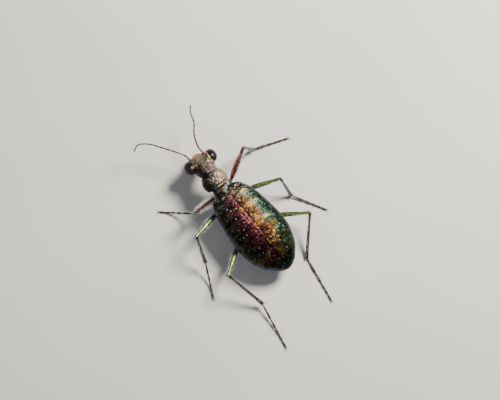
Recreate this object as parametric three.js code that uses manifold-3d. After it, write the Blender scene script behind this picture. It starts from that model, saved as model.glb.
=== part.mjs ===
// Tiger beetle standing on level ground, life size, in millimetres.
// +Y is the way the head faces, +X is the animal's right, +Z is up and the ground is z = 0.
// While it is being built, y = 0 is the base of the wing cases and x = 0 their seam.

import * as THREE from "three";
import { mergeVertices } from "three/addons/utils/BufferGeometryUtils.js";
import Module from "manifold-3d";

const wasm = await Module();
wasm.setup();

// Gaps between neighbouring pieces
const SEAT_GAP = 0.1;
const JOINT_GAP = 0.16;
const SEAM_GAP = 0.08;
const MERGE_DISTANCE = 1e-4;

// Wing cases: length along the ground, then half width and height of the arch by share of the length
const ELYTRA_LENGTH = 10.85;
const ELYTRA_MARGIN_FRONT = 3.75;
const ELYTRA_MARGIN_DROP = 1.3;
const ELYTRA_LIP = 0.2;
const ELYTRA_FULLNESS = 2.3;
const ELYTRA_TURN = 0.6;
const ELYTRA_HALF_WIDTH = [
  [0, 1.4],
  [0.02, 1.75],
  [0.05, 2.02],
  [0.16, 2.5],
  [0.35, 2.88],
  [0.55, 3.06],
  [0.68, 2.93],
  [0.8, 2.48],
  [0.9, 1.72],
  [0.96, 1.02],
  [0.99, 0.42],
];
const ELYTRA_STATIONS = [
  0, 0.02, 0.05, 0.1, 0.16, 0.25, 0.35, 0.45, 0.55, 0.62, 0.68, 0.74, 0.8, 0.85, 0.9, 0.94, 0.97, 0.99,
];
const ELYTRA_ARCH = [
  [0, 0.62],
  [0.02, 0.8],
  [0.05, 0.93],
  [0.16, 1.3],
  [0.35, 1.66],
  [0.55, 1.8],
  [0.68, 1.7],
  [0.8, 1.4],
  [0.9, 0.95],
  [0.96, 0.55],
  [0.99, 0.25],
];

// Scutellum and the collar in front of it
const SCUTELLUM_FRONT = 0.5;
const SCUTELLUM_BACK = -0.75;
const SCUTELLUM_SHOULDER = 0.05;
const SCUTELLUM_HALF_WIDTH = 0.85;
const SCUTELLUM_NECK_HALF_WIDTH = 0.5;
const SCUTELLUM_BOTTOM = 3.56;
const SCUTELLUM_HEIGHT = 0.86;

// Prothorax, from its base to its front margin: y, half width, top and bottom
const PROTHORAX_CENTRE_X = -0.13;
const PROTHORAX_CENTRE_Z = 3.85;
const PROTHORAX_FULLNESS = 2.25;
const PROTHORAX_STATIONS = [
  0.6, 0.67, 0.74, 0.8, 0.88, 1.06, 1.3, 1.52, 1.75, 1.96, 2.15, 2.23, 2.3, 2.38, 2.46,
];
const PROTHORAX_SIDE = [
  [0.6, 1.0],
  [0.74, 1.02],
  [0.88, 1.24],
  [1.3, 1.42],
  [1.75, 1.4],
  [2.15, 1.24],
  [2.3, 1.16],
  [2.46, 1.2],
];
const PROTHORAX_RISE = [
  [0.6, 0.82],
  [0.74, 0.8],
  [0.88, 1.0],
  [1.3, 1.12],
  [1.75, 1.1],
  [2.15, 0.98],
  [2.3, 0.9],
  [2.46, 0.94],
];

// Underside of the trunk: y, half width and depth below its flat top
const THORAX_FRONT = 0.42;
const THORAX_BACK = -4.9;
const ABDOMEN_BACK = -10.35;
const TRUNK_FULLNESS = 1.8;
const TRUNK_HALF_WIDTH = [
  [0.42, 0.85],
  [-0.2, 1.35],
  [-1.2, 2.0],
  [-3, 2.45],
  [-4.9, 2.68],
  [-7, 2.6],
  [-8.6, 2.0],
  [-9.6, 1.25],
  [-10.35, 0.6],
];
const TRUNK_DEPTH = [
  [0.42, 0.6],
  [-0.2, 0.9],
  [-1.2, 1.14],
  [-3, 1.18],
  [-4.9, 1.16],
  [-7, 1.0],
  [-8.6, 0.75],
  [-9.6, 0.5],
  [-10.35, 0.22],
];
const STERNITES = 6;
const STERNITE_STEP = 0.05;
const STERNITE_RINGS = 3;
const THORAX_RINGS = 14;

// Head, in its own frame: +Y out of the mouth, +Z the crown, origin at the neck
const NECK = new THREE.Vector3(-0.12, 2.6, 4.3);
const HEAD_PITCH = 46;
const HEAD_YAW = 7;
const HEAD_ROLL = 4;
const HEAD_FULLNESS = 2.2;
const HEAD_STATIONS = [-0.5, -0.2, 0.1, 0.45, 0.8, 1.2, 1.6, 1.95, 2.3, 2.55, 2.75, 2.92, 3.05];
const HEAD_HALF_WIDTH = [
  [-0.5, 0.75],
  [0.1, 0.98],
  [0.8, 1.1],
  [1.6, 1.02],
  [2.3, 1.0],
  [2.75, 0.98],
  [3.05, 0.82],
];
const HEAD_TOP = [
  [-0.5, 0.5],
  [0.1, 0.72],
  [0.8, 0.84],
  [1.6, 0.72],
  [2.3, 0.6],
  [2.75, 0.46],
  [3.05, 0.32],
];
const HEAD_BOTTOM = [
  [-0.5, 0.5],
  [0.1, 0.75],
  [0.8, 0.92],
  [1.6, 0.92],
  [2.3, 0.82],
  [2.75, 0.66],
  [3.05, 0.42],
];
const EYE_CENTRE = new THREE.Vector3(1.3, 1.82, 0.32);
const EYE_RADII = new THREE.Vector3(0.62, 0.8, 0.7);
const BROW = [
  [0.7, 0.85, 0.74],
  [0.66, 1.6, 0.78],
  [0.8, 2.62, 0.42],
];
const BROW_RADIUS = 0.13;
const BROW_STEPS = 8;
const LABRUM_BACK = 3.16;
const LABRUM_LENGTH = 0.42;
const LABRUM_HALF_WIDTH = 0.66;
const LABRUM_TOP = 0.24;
const LABRUM_THICKNESS = 0.32;
const LABRUM_TOOTH = 0.1;
const LABRUM_CURVE_STEPS = 4;
const MANDIBLE = [
  [0.66, 3.12, -0.42],
  [0.84, 3.5, -0.52],
  [0.7, 4.0, -0.66],
  [0.16, 4.34, -0.78],
];
const MANDIBLE_RADIUS = 0.27;
const MANDIBLE_TAPER = 0.72;
const MANDIBLE_STEPS = 9;
const MANDIBLE_TEETH = [0.42, 0.66];
const TOOTH_LENGTH = 0.26;
const TOOTH_RADIUS = 0.12;
const TOOTH_LEAN = 0.35;
const MAXILLARY_PALP = [
  [0.72, 2.5, -0.98],
  [1.0, 2.95, -1.14],
  [0.9, 3.45, -1.3],
];
const LABIAL_PALP = [
  [0.28, 2.45, -1.14],
  [0.42, 2.9, -1.34],
  [0.36, 3.3, -1.4],
];
const PALP_RADIUS = 0.25;
const PALP_TAPER = 0.3;
const PALP_STEPS = 6;

// Feelers, from their sockets on the head: three lengths, by share of the way to the tip
const ANTENNA_SOCKET = new THREE.Vector3(0.8, 2.86, 0.62);
const ANTENNA_SPLITS = [0, 0.13, 0.38, 1];
const ANTENNA_LENGTH_NAMES = ["scape", "stem", "flagellum"];
const ANTENNA_RADIUS = 0.25;
const ANTENNA_TIP_RADIUS = 0.17;
const ANTENNA_STEPS = [5, 5, 14];
const ANTENNA_ROUTES = {
  right: [
    [0.86, 5.55, 3.0],
    [1.31, 6.74, 3.4],
    [2.2, 7.9, 3.85],
    [2.53, 8.85, 4.0],
    [3.01, 9.47, 4.0],
  ],
  left: [
    [-0.86, 5.7, 3.0],
    [-1.35, 6.56, 3.3],
    [-2.2, 7.8, 3.75],
    [-3.1, 9.05, 4.1],
    [-4.1, 9.74, 4.05],
    [-4.86, 9.5, 3.8],
  ],
};

// Legs: lengths of the segments, then where each joint stands in plan
const FOOT_HEIGHT = 0.16;
const GROUND_SIZE = 60;
const KNEE_RADIUS = 0.26;
const ANKLE_RADIUS = 0.25;
const FOOT_RADIUS = 0.25;
const FOOT_TIP_RADIUS = 0.2;
const FOOT_SEGMENTS = 5;
const CLAW_LENGTH = 0.5;
const CLAW_RADIUS = 0.11;
const CLAW_SPREAD = 24;
const CLAW_ROOT = 0.05;
const SPUR_RADIUS = 0.1;
const SPUR_ROOT = 0.2;
const POINT_TAPER = 0.75;
const TURN_START = 0.2;
const SHIN_TOP_RADIUS = 0.2;
const SHIN_FLARE = 0.2;
const THIGH_FULLEST = 0.4;
const FOOT_BEND = 0.55;
const FOOT_WAIST = 0.88;
const LEGS = [
  {
    name: "front",
    coxa: [0.42, 0.52, 0.46],
    hip: [0.62, 0.62, 2.5],
    femur: 4.05,
    femurRadius: 0.33,
    tibia: 3.2,
    spur: 0.4,
    right: { turn: [1.12, 0.48, 2.5], knee: [4.56, 2.34], ankle: [5.3, 1.78], toe: [9.0, 0.3] },
    left: { turn: [-1.0, 0.1, 2.32], knee: [-3.7, 0.07], ankle: [-4.0, 0.26], toe: [-6.7, 2.85] },
  },
  {
    name: "middle",
    coxa: [0.5, 0.5, 0.46],
    hip: [1.2, -1.15, 2.2],
    femur: 4.3,
    femurRadius: 0.33,
    tibia: 3.7,
    spur: 0.45,
    right: { turn: [1.75, -1.2, 2.15], knee: [5.5, -2.8], ankle: [5.4, -4.75], toe: [7.3, -8.3] },
    left: { turn: [-1.75, -1.2, 2.15], knee: [-5.5, -1.9], ankle: [-6.45, -4.5], toe: [-8.2, -7.9] },
  },
  {
    name: "hind",
    coxa: [0.72, 0.5, 0.44],
    hip: [1.2, -4.5, 1.75],
    femur: 4.75,
    femurRadius: 0.35,
    tibia: 5.45,
    spur: 0.55,
    right: { turn: [1.95, -4.95, 1.62], knee: [5.65, -7.65], ankle: [2.4, -11.1], toe: [1.5, -16.3] },
    left: { turn: [-1.95, -4.95, 1.62], knee: [-5.5, -7.3], ankle: [-4.55, -11.85], toe: [-5.55, -17.05] },
  },
];

// Fineness of the surfaces
const TRUNK_SIDES = 24;
const ROD_SIDES = 8;
const THIN_ROD_SIDES = 7;
const POINT_SIDES = 5;
const ROUND_STEPS = 3;
const STRETCH_STEPS = 6;
const EYE_SIDES = 14;
const EYE_RINGS = 10;
const COXA_SIDES = 12;
const COXA_RINGS = 8;
const THIGH_STEPS = 12;
const SHIN_STEPS = 8;
const FOOT_SEGMENT_STEPS = 3;
const CLAW_STEPS = 3;
const POINT_STEPS = 2;

const SIDES = [
  ["right", 1],
  ["left", -1],
];

// Materials
function paint(color, roughness, metalness) {
  return new THREE.MeshStandardMaterial({ color, roughness, metalness });
}
const bronze = paint(0x4a3a2c, 0.38, 0.6);
const coppery = paint(0x7a6258, 0.45, 0.55);
const darkShell = paint(0x1d2422, 0.35, 0.5);
const redCopper = paint(0x6b3428, 0.35, 0.6);
const greenCopper = paint(0x4c5a2c, 0.35, 0.6);
const darkLeg = paint(0x241c16, 0.45, 0.3);
const darkFeeler = paint(0x2a211c, 0.6, 0.1);
const eyeBrown = paint(0x1c120d, 0.15, 0.0);
const tan = paint(0xb07a3c, 0.5, 0.0);
const jaw = paint(0x2b1d12, 0.35, 0.2);

// The value at a place in a list of [place, value] pairs, on the straight lines between them.
function along(table, place) {
  const rising = table[1][0] > table[0][0];
  let i = 0;
  while (i < table.length - 2 && (rising ? place > table[i + 1][0] : place < table[i + 1][0])) {
    i += 1;
  }
  const [from, to] = [table[i], table[i + 1]];
  const share = THREE.MathUtils.clamp((place - from[0]) / (to[0] - from[0]), 0, 1);
  return THREE.MathUtils.lerp(from[1], to[1], share);
}

// The same, on a smooth curve through the pairs.
function smoothAlong(table, place) {
  const curve = new THREE.CatmullRomCurve3(table.map(([at, value]) => new THREE.Vector3(at, value, 0)));
  const marks = table.map(([at], i) => [at, i / (table.length - 1)]);
  return curve.getPoint(along(marks, place)).y;
}

// Rounds a unit circle towards a square: 2 keeps the circle.
function squared(value, fullness) {
  return Math.sign(value) * Math.abs(value) ** (2 / fullness);
}

// Joins equal corners and drops the triangles that this leaves without area.
function cleaned(geometry) {
  const bare = geometry.clone();
  bare.deleteAttribute("normal");
  bare.deleteAttribute("uv");
  const merged = mergeVertices(bare, MERGE_DISTANCE);
  const kept = [];
  for (let i = 0; i < merged.index.count; i += 3) {
    const corners = [0, 1, 2].map((k) => merged.index.getX(i + k));
    if (new Set(corners).size === 3) {
      kept.push(...corners);
    }
  }
  merged.setIndex(signedVolume(merged, kept) < 0 ? kept.reverse() : kept);
  merged.computeVertexNormals();
  return merged;
}

// Volume inside a closed surface: negative where its faces point inwards.
function signedVolume(geometry, triangles) {
  const corner = (i) => new THREE.Vector3().fromBufferAttribute(geometry.attributes.position, triangles[i]);
  let volume = 0;
  for (let i = 0; i < triangles.length; i += 3) {
    volume += corner(i).dot(corner(i + 1).cross(corner(i + 2))) / 6;
  }
  return volume;
}

function solidOf(geometry) {
  const body = cleaned(geometry);
  return new wasm.Manifold(
    new wasm.Mesh({
      numProp: 3,
      vertProperties: body.attributes.position.array,
      triVerts: new Uint32Array(body.index.array),
    }),
  );
}

// A solid's largest closed surface as a geometry.
function geometryOf(solid) {
  const largest = solid.decompose().reduce((a, b) => (b.volume() > a.volume() ? b : a));
  const mesh = largest.getMesh();
  const geometry = new THREE.BufferGeometry();
  geometry.setAttribute("position", new THREE.BufferAttribute(mesh.vertProperties, 3));
  geometry.setIndex(new THREE.BufferAttribute(mesh.triVerts, 1));
  geometry.computeVertexNormals();
  return geometry;
}

// A closed body of rings round an axis. Each ring has a radius and a station;
// place(station, across, up) says where a point of the ring stands.
function ringBody(rings, sides, place) {
  const profile = rings.map((ring, i) => new THREE.Vector2(ring.radius, i));
  const geometry = new THREE.LatheGeometry(profile, sides);
  const position = geometry.attributes.position;
  for (let i = 0; i < position.count; i += 1) {
    const ring = rings[Math.round(position.getY(i))];
    const point = place(ring.station, position.getX(i), position.getZ(i));
    position.setXYZ(i, point.x, point.y, point.z);
  }
  return cleaned(geometry);
}

// Rings of unit radius at each station, closed by a point on the axis at both ends.
function unitRings(stations) {
  const whole = stations.map((station) => ({ station, radius: 1 }));
  const ends = [stations[0], stations[stations.length - 1]].map((station) => ({ station, radius: 0 }));
  return [ends[0], ...whole, ends[1]];
}

// A tapering rod along a curve, flat or rounded at each end.
function rod(curve, radiusAt, steps, { sides = ROD_SIDES, roundStart = false, roundEnd = true } = {}) {
  const frames = curve.computeFrenetFrames(steps, false);
  const rings = [];
  const cap = (step, direction) => {
    const radius = radiusAt(step / steps);
    const rounded = [];
    for (let k = 1; k <= ROUND_STEPS; k += 1) {
      const angle = (Math.PI / 2) * (k / ROUND_STEPS);
      const ringRadius = k === ROUND_STEPS ? 0 : radius * Math.cos(angle);
      rounded.push({ station: { step, shift: direction * radius * Math.sin(angle) }, radius: ringRadius });
    }
    return rounded;
  };
  const flat = (step) => [{ station: { step, shift: 0 }, radius: 0 }];
  rings.push(...(roundStart ? cap(0, -1).reverse() : flat(0)));
  for (let step = 0; step <= steps; step += 1) {
    rings.push({ station: { step, shift: 0 }, radius: radiusAt(step / steps) });
  }
  rings.push(...(roundEnd ? cap(steps, 1) : flat(steps)));
  return ringBody(rings, sides, ({ step, shift }, across, up) => {
    const point = curve.getPointAt(step / steps);
    point.addScaledVector(frames.tangents[step], shift);
    point.addScaledVector(frames.normals[step], across);
    point.addScaledVector(frames.binormals[step], -up);
    return point;
  });
}

// A straight pointed rod, for a tooth or a spur.
function pointBody(root, tip, radius) {
  const line = new THREE.LineCurve3(root, tip);
  return rod(line, (share) => radius * (1 - POINT_TAPER * share), POINT_STEPS, { sides: POINT_SIDES });
}

function curveThrough(points) {
  return new THREE.CatmullRomCurve3(points.map((point) => new THREE.Vector3(...point)));
}

// The stretch of a curve between two shares of its length.
function stretch(curve, from, to) {
  const points = [];
  for (let i = 0; i <= STRETCH_STEPS; i += 1) {
    points.push(curve.getPointAt(THREE.MathUtils.lerp(from, to, i / STRETCH_STEPS)));
  }
  return new THREE.CatmullRomCurve3(points);
}

function mirrored(point, side) {
  return [side * point[0], point[1], point[2]];
}

function namedMesh(name, geometry, material) {
  const mesh = new THREE.Mesh(geometry, material);
  mesh.name = name;
  return mesh;
}

// Height of the wing cases' outer edge.
function marginAt(y) {
  return ELYTRA_MARGIN_FRONT + (ELYTRA_MARGIN_DROP * y) / ELYTRA_LENGTH;
}

// Both wing cases as one arch, flat below.
function elytraArch() {
  return ringBody(unitRings(ELYTRA_STATIONS), TRUNK_SIDES, (share, across, up) => {
    const y = -ELYTRA_LENGTH * share;
    const height = up > 0 ? smoothAlong(ELYTRA_ARCH, share) : ELYTRA_LIP;
    return new THREE.Vector3(
      smoothAlong(ELYTRA_HALF_WIDTH, share) * squared(across, ELYTRA_FULLNESS),
      y,
      marginAt(y) + height * squared(up, ELYTRA_FULLNESS),
    );
  });
}

// The shield between the bases of the wing cases, with the collar before it.
function scutellumBody(gap) {
  const outline = new THREE.Shape();
  const neck = SCUTELLUM_NECK_HALF_WIDTH + gap;
  const shoulder = SCUTELLUM_HALF_WIDTH + gap;
  outline.moveTo(0, SCUTELLUM_BACK - gap);
  outline.lineTo(neck, SCUTELLUM_SHOULDER - gap);
  outline.lineTo(shoulder, SCUTELLUM_SHOULDER + gap);
  outline.lineTo(shoulder, SCUTELLUM_FRONT + gap);
  outline.lineTo(-shoulder, SCUTELLUM_FRONT + gap);
  outline.lineTo(-shoulder, SCUTELLUM_SHOULDER + gap);
  outline.lineTo(-neck, SCUTELLUM_SHOULDER - gap);
  const plate = new THREE.ExtrudeGeometry(outline, {
    depth: SCUTELLUM_HEIGHT + 2 * gap,
    bevelEnabled: false,
  });
  return plate.translate(0, 0, SCUTELLUM_BOTTOM - gap);
}

// The arch parted along its seam. The seam runs a little towards the animal's right at the rear.
function elytra() {
  const arch = solidOf(elytraArch()).subtract(solidOf(scutellumBody(SEAT_GAP)));
  return SIDES.map(([sideName, side]) => {
    const reach = 2 * ELYTRA_LENGTH;
    const half = new THREE.BoxGeometry(reach, 2 * reach, 2 * reach);
    half.translate((side * (reach + SEAM_GAP)) / 2, 0, 0);
    const shell = geometryOf(arch.intersect(solidOf(half)));
    shell.rotateZ(THREE.MathUtils.degToRad(ELYTRA_TURN));
    return namedMesh(`elytron_${sideName}`, shell, bronze);
  });
}

function prothoraxBody(gap) {
  const first = PROTHORAX_SIDE[0][0];
  const last = PROTHORAX_SIDE[PROTHORAX_SIDE.length - 1][0];
  return ringBody(unitRings(PROTHORAX_STATIONS), TRUNK_SIDES, (y, across, up) => {
    const end = y === first ? -gap : y === last ? gap : 0;
    return new THREE.Vector3(
      PROTHORAX_CENTRE_X + (smoothAlong(PROTHORAX_SIDE, y) + gap) * squared(across, PROTHORAX_FULLNESS),
      y + end,
      PROTHORAX_CENTRE_Z + (smoothAlong(PROTHORAX_RISE, y) + gap) * squared(up, PROTHORAX_FULLNESS),
    );
  });
}

// The trunk below the wing cases, between two places along it. Sternites step down in turn.
function trunkBody(from, to, steps, gap, sternites) {
  const stations = [];
  for (let step = 0; step <= steps; step += 1) {
    stations.push(step);
  }
  return ringBody(unitRings(stations), TRUNK_SIDES, (step, across, up) => {
    const share = step / steps;
    const end = step === 0 ? gap : step === steps ? -gap : 0;
    const y = THREE.MathUtils.lerp(from, to, share);
    const fold = sternites ? STERNITE_STEP * (1 - ((share * sternites) % 1)) : 0;
    const top = marginAt(y) - ELYTRA_LIP - SEAT_GAP;
    const depth = smoothAlong(TRUNK_DEPTH, y) - fold + gap;
    return new THREE.Vector3(
      (smoothAlong(TRUNK_HALF_WIDTH, y) - fold + gap) * squared(across, TRUNK_FULLNESS),
      y + end,
      top + (up < 0 ? depth * squared(up, TRUNK_FULLNESS) : 0),
    );
  });
}

function thoraxBody(gap) {
  return trunkBody(THORAX_FRONT, THORAX_BACK, THORAX_RINGS, gap, 0);
}

function trunk() {
  const thorax = thoraxBody(0);
  const rings = STERNITE_RINGS * STERNITES;
  const abdomen = trunkBody(THORAX_BACK - SEAT_GAP, ABDOMEN_BACK, rings, 0, STERNITES);
  return [namedMesh("thorax_underside", thorax, darkShell), namedMesh("abdomen", abdomen, darkShell)];
}

// The head's own frame as a matrix.
function headMatrix() {
  const turn = new THREE.Euler(
    THREE.MathUtils.degToRad(-HEAD_PITCH),
    THREE.MathUtils.degToRad(HEAD_ROLL),
    THREE.MathUtils.degToRad(-HEAD_YAW),
    "ZYX",
  );
  const matrix = new THREE.Matrix4().makeRotationFromEuler(turn);
  return matrix.setPosition(NECK);
}

function eyeBody(side, gap) {
  const eye = new THREE.SphereGeometry(1, EYE_SIDES, EYE_RINGS);
  eye.scale(EYE_RADII.x + gap, EYE_RADII.y + gap, EYE_RADII.z + gap);
  return eye.translate(side * EYE_CENTRE.x, EYE_CENTRE.y, EYE_CENTRE.z);
}

function headCapsule() {
  return ringBody(unitRings(HEAD_STATIONS), TRUNK_SIDES, (y, across, up) => {
    const height = smoothAlong(up > 0 ? HEAD_TOP : HEAD_BOTTOM, y);
    const halfWidth = smoothAlong(HEAD_HALF_WIDTH, y);
    const x = halfWidth * squared(across, HEAD_FULLNESS);
    return new THREE.Vector3(x, y, height * squared(up, HEAD_FULLNESS));
  });
}

function browBody(side) {
  const curve = curveThrough(BROW.map((point) => mirrored(point, side)));
  return rod(curve, () => BROW_RADIUS, BROW_STEPS, { roundStart: true });
}

function headBody(matrix) {
  let head = solidOf(headCapsule());
  SIDES.forEach(([, side]) => {
    head = head.add(solidOf(browBody(side)));
    head = head.subtract(solidOf(eyeBody(side, SEAT_GAP)));
  });
  const placed = geometryOf(head).applyMatrix4(matrix);
  return geometryOf(solidOf(placed).subtract(solidOf(prothoraxBody(SEAT_GAP))));
}

// The upper lip: a plate with one blunt tooth in the middle of its front edge.
function labrumBody() {
  const outline = new THREE.Shape();
  const front = LABRUM_BACK + LABRUM_LENGTH;
  outline.moveTo(-LABRUM_HALF_WIDTH, LABRUM_BACK);
  outline.lineTo(LABRUM_HALF_WIDTH, LABRUM_BACK);
  outline.quadraticCurveTo(LABRUM_HALF_WIDTH, front - LABRUM_TOOTH, LABRUM_HALF_WIDTH / 2, front);
  outline.lineTo(LABRUM_TOOTH, front);
  outline.lineTo(0, front + LABRUM_TOOTH);
  outline.lineTo(-LABRUM_TOOTH, front);
  outline.lineTo(-LABRUM_HALF_WIDTH / 2, front);
  outline.quadraticCurveTo(-LABRUM_HALF_WIDTH, front - LABRUM_TOOTH, -LABRUM_HALF_WIDTH, LABRUM_BACK);
  const plate = new THREE.ExtrudeGeometry(outline, {
    depth: LABRUM_THICKNESS,
    bevelEnabled: false,
    curveSegments: LABRUM_CURVE_STEPS,
  });
  return plate.translate(0, 0, LABRUM_TOP - LABRUM_THICKNESS);
}

// A jaw: a curved horn with two teeth on its inner edge.
function mandibleBody(side) {
  const curve = curveThrough(MANDIBLE.map((point) => mirrored(point, side)));
  const horn = rod(curve, (share) => MANDIBLE_RADIUS * (1 - MANDIBLE_TAPER * share ** 1.5), MANDIBLE_STEPS);
  let jawSolid = solidOf(horn);
  MANDIBLE_TEETH.forEach((share) => {
    const root = curve.getPointAt(share);
    const inward = new THREE.Vector3(-side, TOOTH_LEAN, 0).normalize();
    const tip = root.clone().addScaledVector(inward, TOOTH_LENGTH);
    jawSolid = jawSolid.add(solidOf(pointBody(root, tip, TOOTH_RADIUS)));
  });
  return geometryOf(jawSolid);
}

function palpBody(points, side) {
  const curve = curveThrough(points.map((point) => mirrored(point, side)));
  const radiusAt = (share) => PALP_RADIUS * (1 - PALP_TAPER * share);
  return rod(curve, radiusAt, PALP_STEPS, { sides: THIN_ROD_SIDES, roundStart: true });
}

function headParts(matrix) {
  const parts = [
    namedMesh("head", headBody(matrix), coppery),
    namedMesh("labrum", labrumBody().applyMatrix4(matrix), tan),
  ];
  SIDES.forEach(([sideName, side]) => {
    parts.push(
      namedMesh(`eye_${sideName}`, cleaned(eyeBody(side, 0)).applyMatrix4(matrix), eyeBrown),
      namedMesh(`mandible_${sideName}`, mandibleBody(side).applyMatrix4(matrix), jaw),
      namedMesh(`maxillary_palp_${sideName}`, palpBody(MAXILLARY_PALP, side).applyMatrix4(matrix), jaw),
      namedMesh(`labial_palp_${sideName}`, palpBody(LABIAL_PALP, side).applyMatrix4(matrix), jaw),
    );
  });
  return parts;
}

// One feeler in three lengths, each a little clear of the one before.
function antenna(sideName, side, matrix) {
  const socket = ANTENNA_SOCKET.clone();
  socket.x *= side;
  socket.applyMatrix4(matrix);
  const curve = curveThrough([socket.toArray(), ...ANTENNA_ROUTES[sideName]]);
  const gapShare = SEAT_GAP / curve.getLength();
  return ANTENNA_LENGTH_NAMES.map((lengthName, i) => {
    const from = ANTENNA_SPLITS[i] + gapShare;
    const to = ANTENNA_SPLITS[i + 1];
    const last = to === 1;
    const radiusAt = (share) => {
      const place = THREE.MathUtils.lerp(from, to, share);
      return THREE.MathUtils.lerp(ANTENNA_RADIUS, ANTENNA_TIP_RADIUS, place);
    };
    const ends = { sides: THIN_ROD_SIDES, roundEnd: last };
    const body = rod(stretch(curve, from, to), radiusAt, ANTENNA_STEPS[i], ends);
    return namedMesh(`antenna_${sideName}_${lengthName}`, body, last ? darkFeeler : redCopper);
  });
}

// The point a given way along the line from one point towards another.
function towards(from, to, distance) {
  return from.clone().addScaledVector(to.clone().sub(from).normalize(), distance);
}

// Height gained or lost over a segment of known length between two places in plan.
function climb(length, from, to) {
  return Math.sqrt(length ** 2 - (to[0] - from[0]) ** 2 - (to[1] - from[1]) ** 2);
}

// Where the joints of one leg stand.
function legJoints(leg, sideName, side) {
  const { turn, knee, ankle, toe } = leg[sideName];
  const kneeHeight = turn[2] + climb(leg.femur, turn, knee);
  const ankleHeight = kneeHeight - climb(leg.tibia, knee, ankle);
  return {
    hip: new THREE.Vector3(...mirrored(leg.hip, side)),
    turn: new THREE.Vector3(...turn),
    knee: new THREE.Vector3(...knee, kneeHeight),
    ankle: new THREE.Vector3(...ankle, ankleHeight),
    toe: new THREE.Vector3(...toe, FOOT_HEIGHT),
  };
}

function coxaBody(leg, joints, gap) {
  const knob = new THREE.SphereGeometry(1, COXA_SIDES, COXA_RINGS);
  knob.scale(leg.coxa[0] + gap, leg.coxa[1] + gap, leg.coxa[2] + gap);
  return knob.translate(joints.hip.x, joints.hip.y, joints.hip.z);
}

// Thigh with its short turning piece at the root, swollen in its first third.
function femurBody(leg, joints) {
  const start = towards(joints.hip, joints.turn, TURN_START);
  const curve = new THREE.CatmullRomCurve3([
    start,
    joints.turn,
    joints.turn.clone().lerp(joints.knee, 1 / 3),
    joints.turn.clone().lerp(joints.knee, 2 / 3),
    joints.knee,
  ]);
  const radiusAt = (share) => {
    const swell = Math.sin((Math.PI / 2) * Math.min(1, share / THIGH_FULLEST));
    const fall = Math.max(0, (share - THIGH_FULLEST) / (1 - THIGH_FULLEST));
    return THREE.MathUtils.lerp(KNEE_RADIUS, leg.femurRadius, swell * (1 - fall ** 2));
  };
  return rod(curve, radiusAt, THIGH_STEPS);
}

// A spur beside the end of the shin, level with the ground and spread from the foot.
function spurBody(leg, joints, side) {
  const forward = joints.toe.clone().sub(joints.ankle).setZ(0).normalize();
  const across = new THREE.Vector3(-forward.y, forward.x, 0).multiplyScalar(side);
  const down = joints.ankle.clone().sub(joints.knee).normalize();
  const root = joints.ankle.clone().addScaledVector(across, ANKLE_RADIUS / 2);
  root.addScaledVector(down, -SPUR_ROOT);
  const heading = forward.clone().multiplyScalar(1 / 3).add(down).addScaledVector(across, 1 / 2).setZ(0);
  const tip = root.clone().addScaledVector(heading.normalize(), leg.spur);
  return pointBody(root, tip, SPUR_RADIUS);
}

// Shin, narrow at the knee, with a spur on each side of its end.
function tibiaBody(leg, joints) {
  const start = towards(joints.knee, joints.ankle, KNEE_RADIUS + JOINT_GAP);
  const radiusAt = (share) => {
    return THREE.MathUtils.lerp(SHIN_TOP_RADIUS, ANKLE_RADIUS, Math.min(1, share / SHIN_FLARE));
  };
  let shin = solidOf(rod(new THREE.LineCurve3(start, joints.ankle), radiusAt, SHIN_STEPS));
  SIDES.forEach(([, side]) => {
    shin = shin.add(solidOf(spurBody(leg, joints, side)));
  });
  return geometryOf(shin);
}

// The foot's line, from just clear of the ankle down to the ground and along it.
function footCurve(joints) {
  const bend = joints.ankle.clone().lerp(joints.toe, FOOT_BEND).setZ(FOOT_HEIGHT);
  const whole = new THREE.QuadraticBezierCurve3(joints.ankle, bend, joints.toe);
  const gapShare = (ANKLE_RADIUS + SEAT_GAP) / whole.getLength();
  return stretch(whole, gapShare, 1);
}

// Each segment of the foot is a little wider at its end.
function footRadius(share) {
  const within = share === 1 ? 1 : (share * FOOT_SEGMENTS) % 1;
  const taper = THREE.MathUtils.lerp(FOOT_RADIUS, FOOT_TIP_RADIUS, share);
  return taper * THREE.MathUtils.lerp(FOOT_WAIST, 1, within);
}

function clawBody(joints, curve, side) {
  const heading = curve.getTangentAt(1).setZ(0).normalize();
  const spread = heading.clone().applyAxisAngle(
    new THREE.Vector3(0, 0, 1),
    THREE.MathUtils.degToRad(side * CLAW_SPREAD),
  );
  const root = joints.toe.clone().addScaledVector(heading, -CLAW_ROOT);
  const middle = root.clone().addScaledVector(spread, CLAW_LENGTH / 2);
  const tip = root.clone().addScaledVector(spread, CLAW_LENGTH).setZ(CLAW_RADIUS / 2);
  const claw = new THREE.QuadraticBezierCurve3(root, middle, tip);
  const radiusAt = (share) => CLAW_RADIUS * (1 - POINT_TAPER * share);
  return rod(claw, radiusAt, CLAW_STEPS, { sides: POINT_SIDES, roundEnd: false });
}

// The foot with its two claws, cut flat where it meets the ground.
function footBody(joints) {
  const curve = footCurve(joints);
  const ground = new THREE.BoxGeometry(GROUND_SIZE, GROUND_SIZE, GROUND_SIZE);
  ground.translate(0, 0, -GROUND_SIZE / 2);
  let foot = solidOf(rod(curve, footRadius, FOOT_SEGMENT_STEPS * FOOT_SEGMENTS));
  SIDES.forEach(([, side]) => {
    foot = foot.add(solidOf(clawBody(joints, curve, side)));
  });
  return geometryOf(foot.subtract(solidOf(ground)));
}

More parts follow.
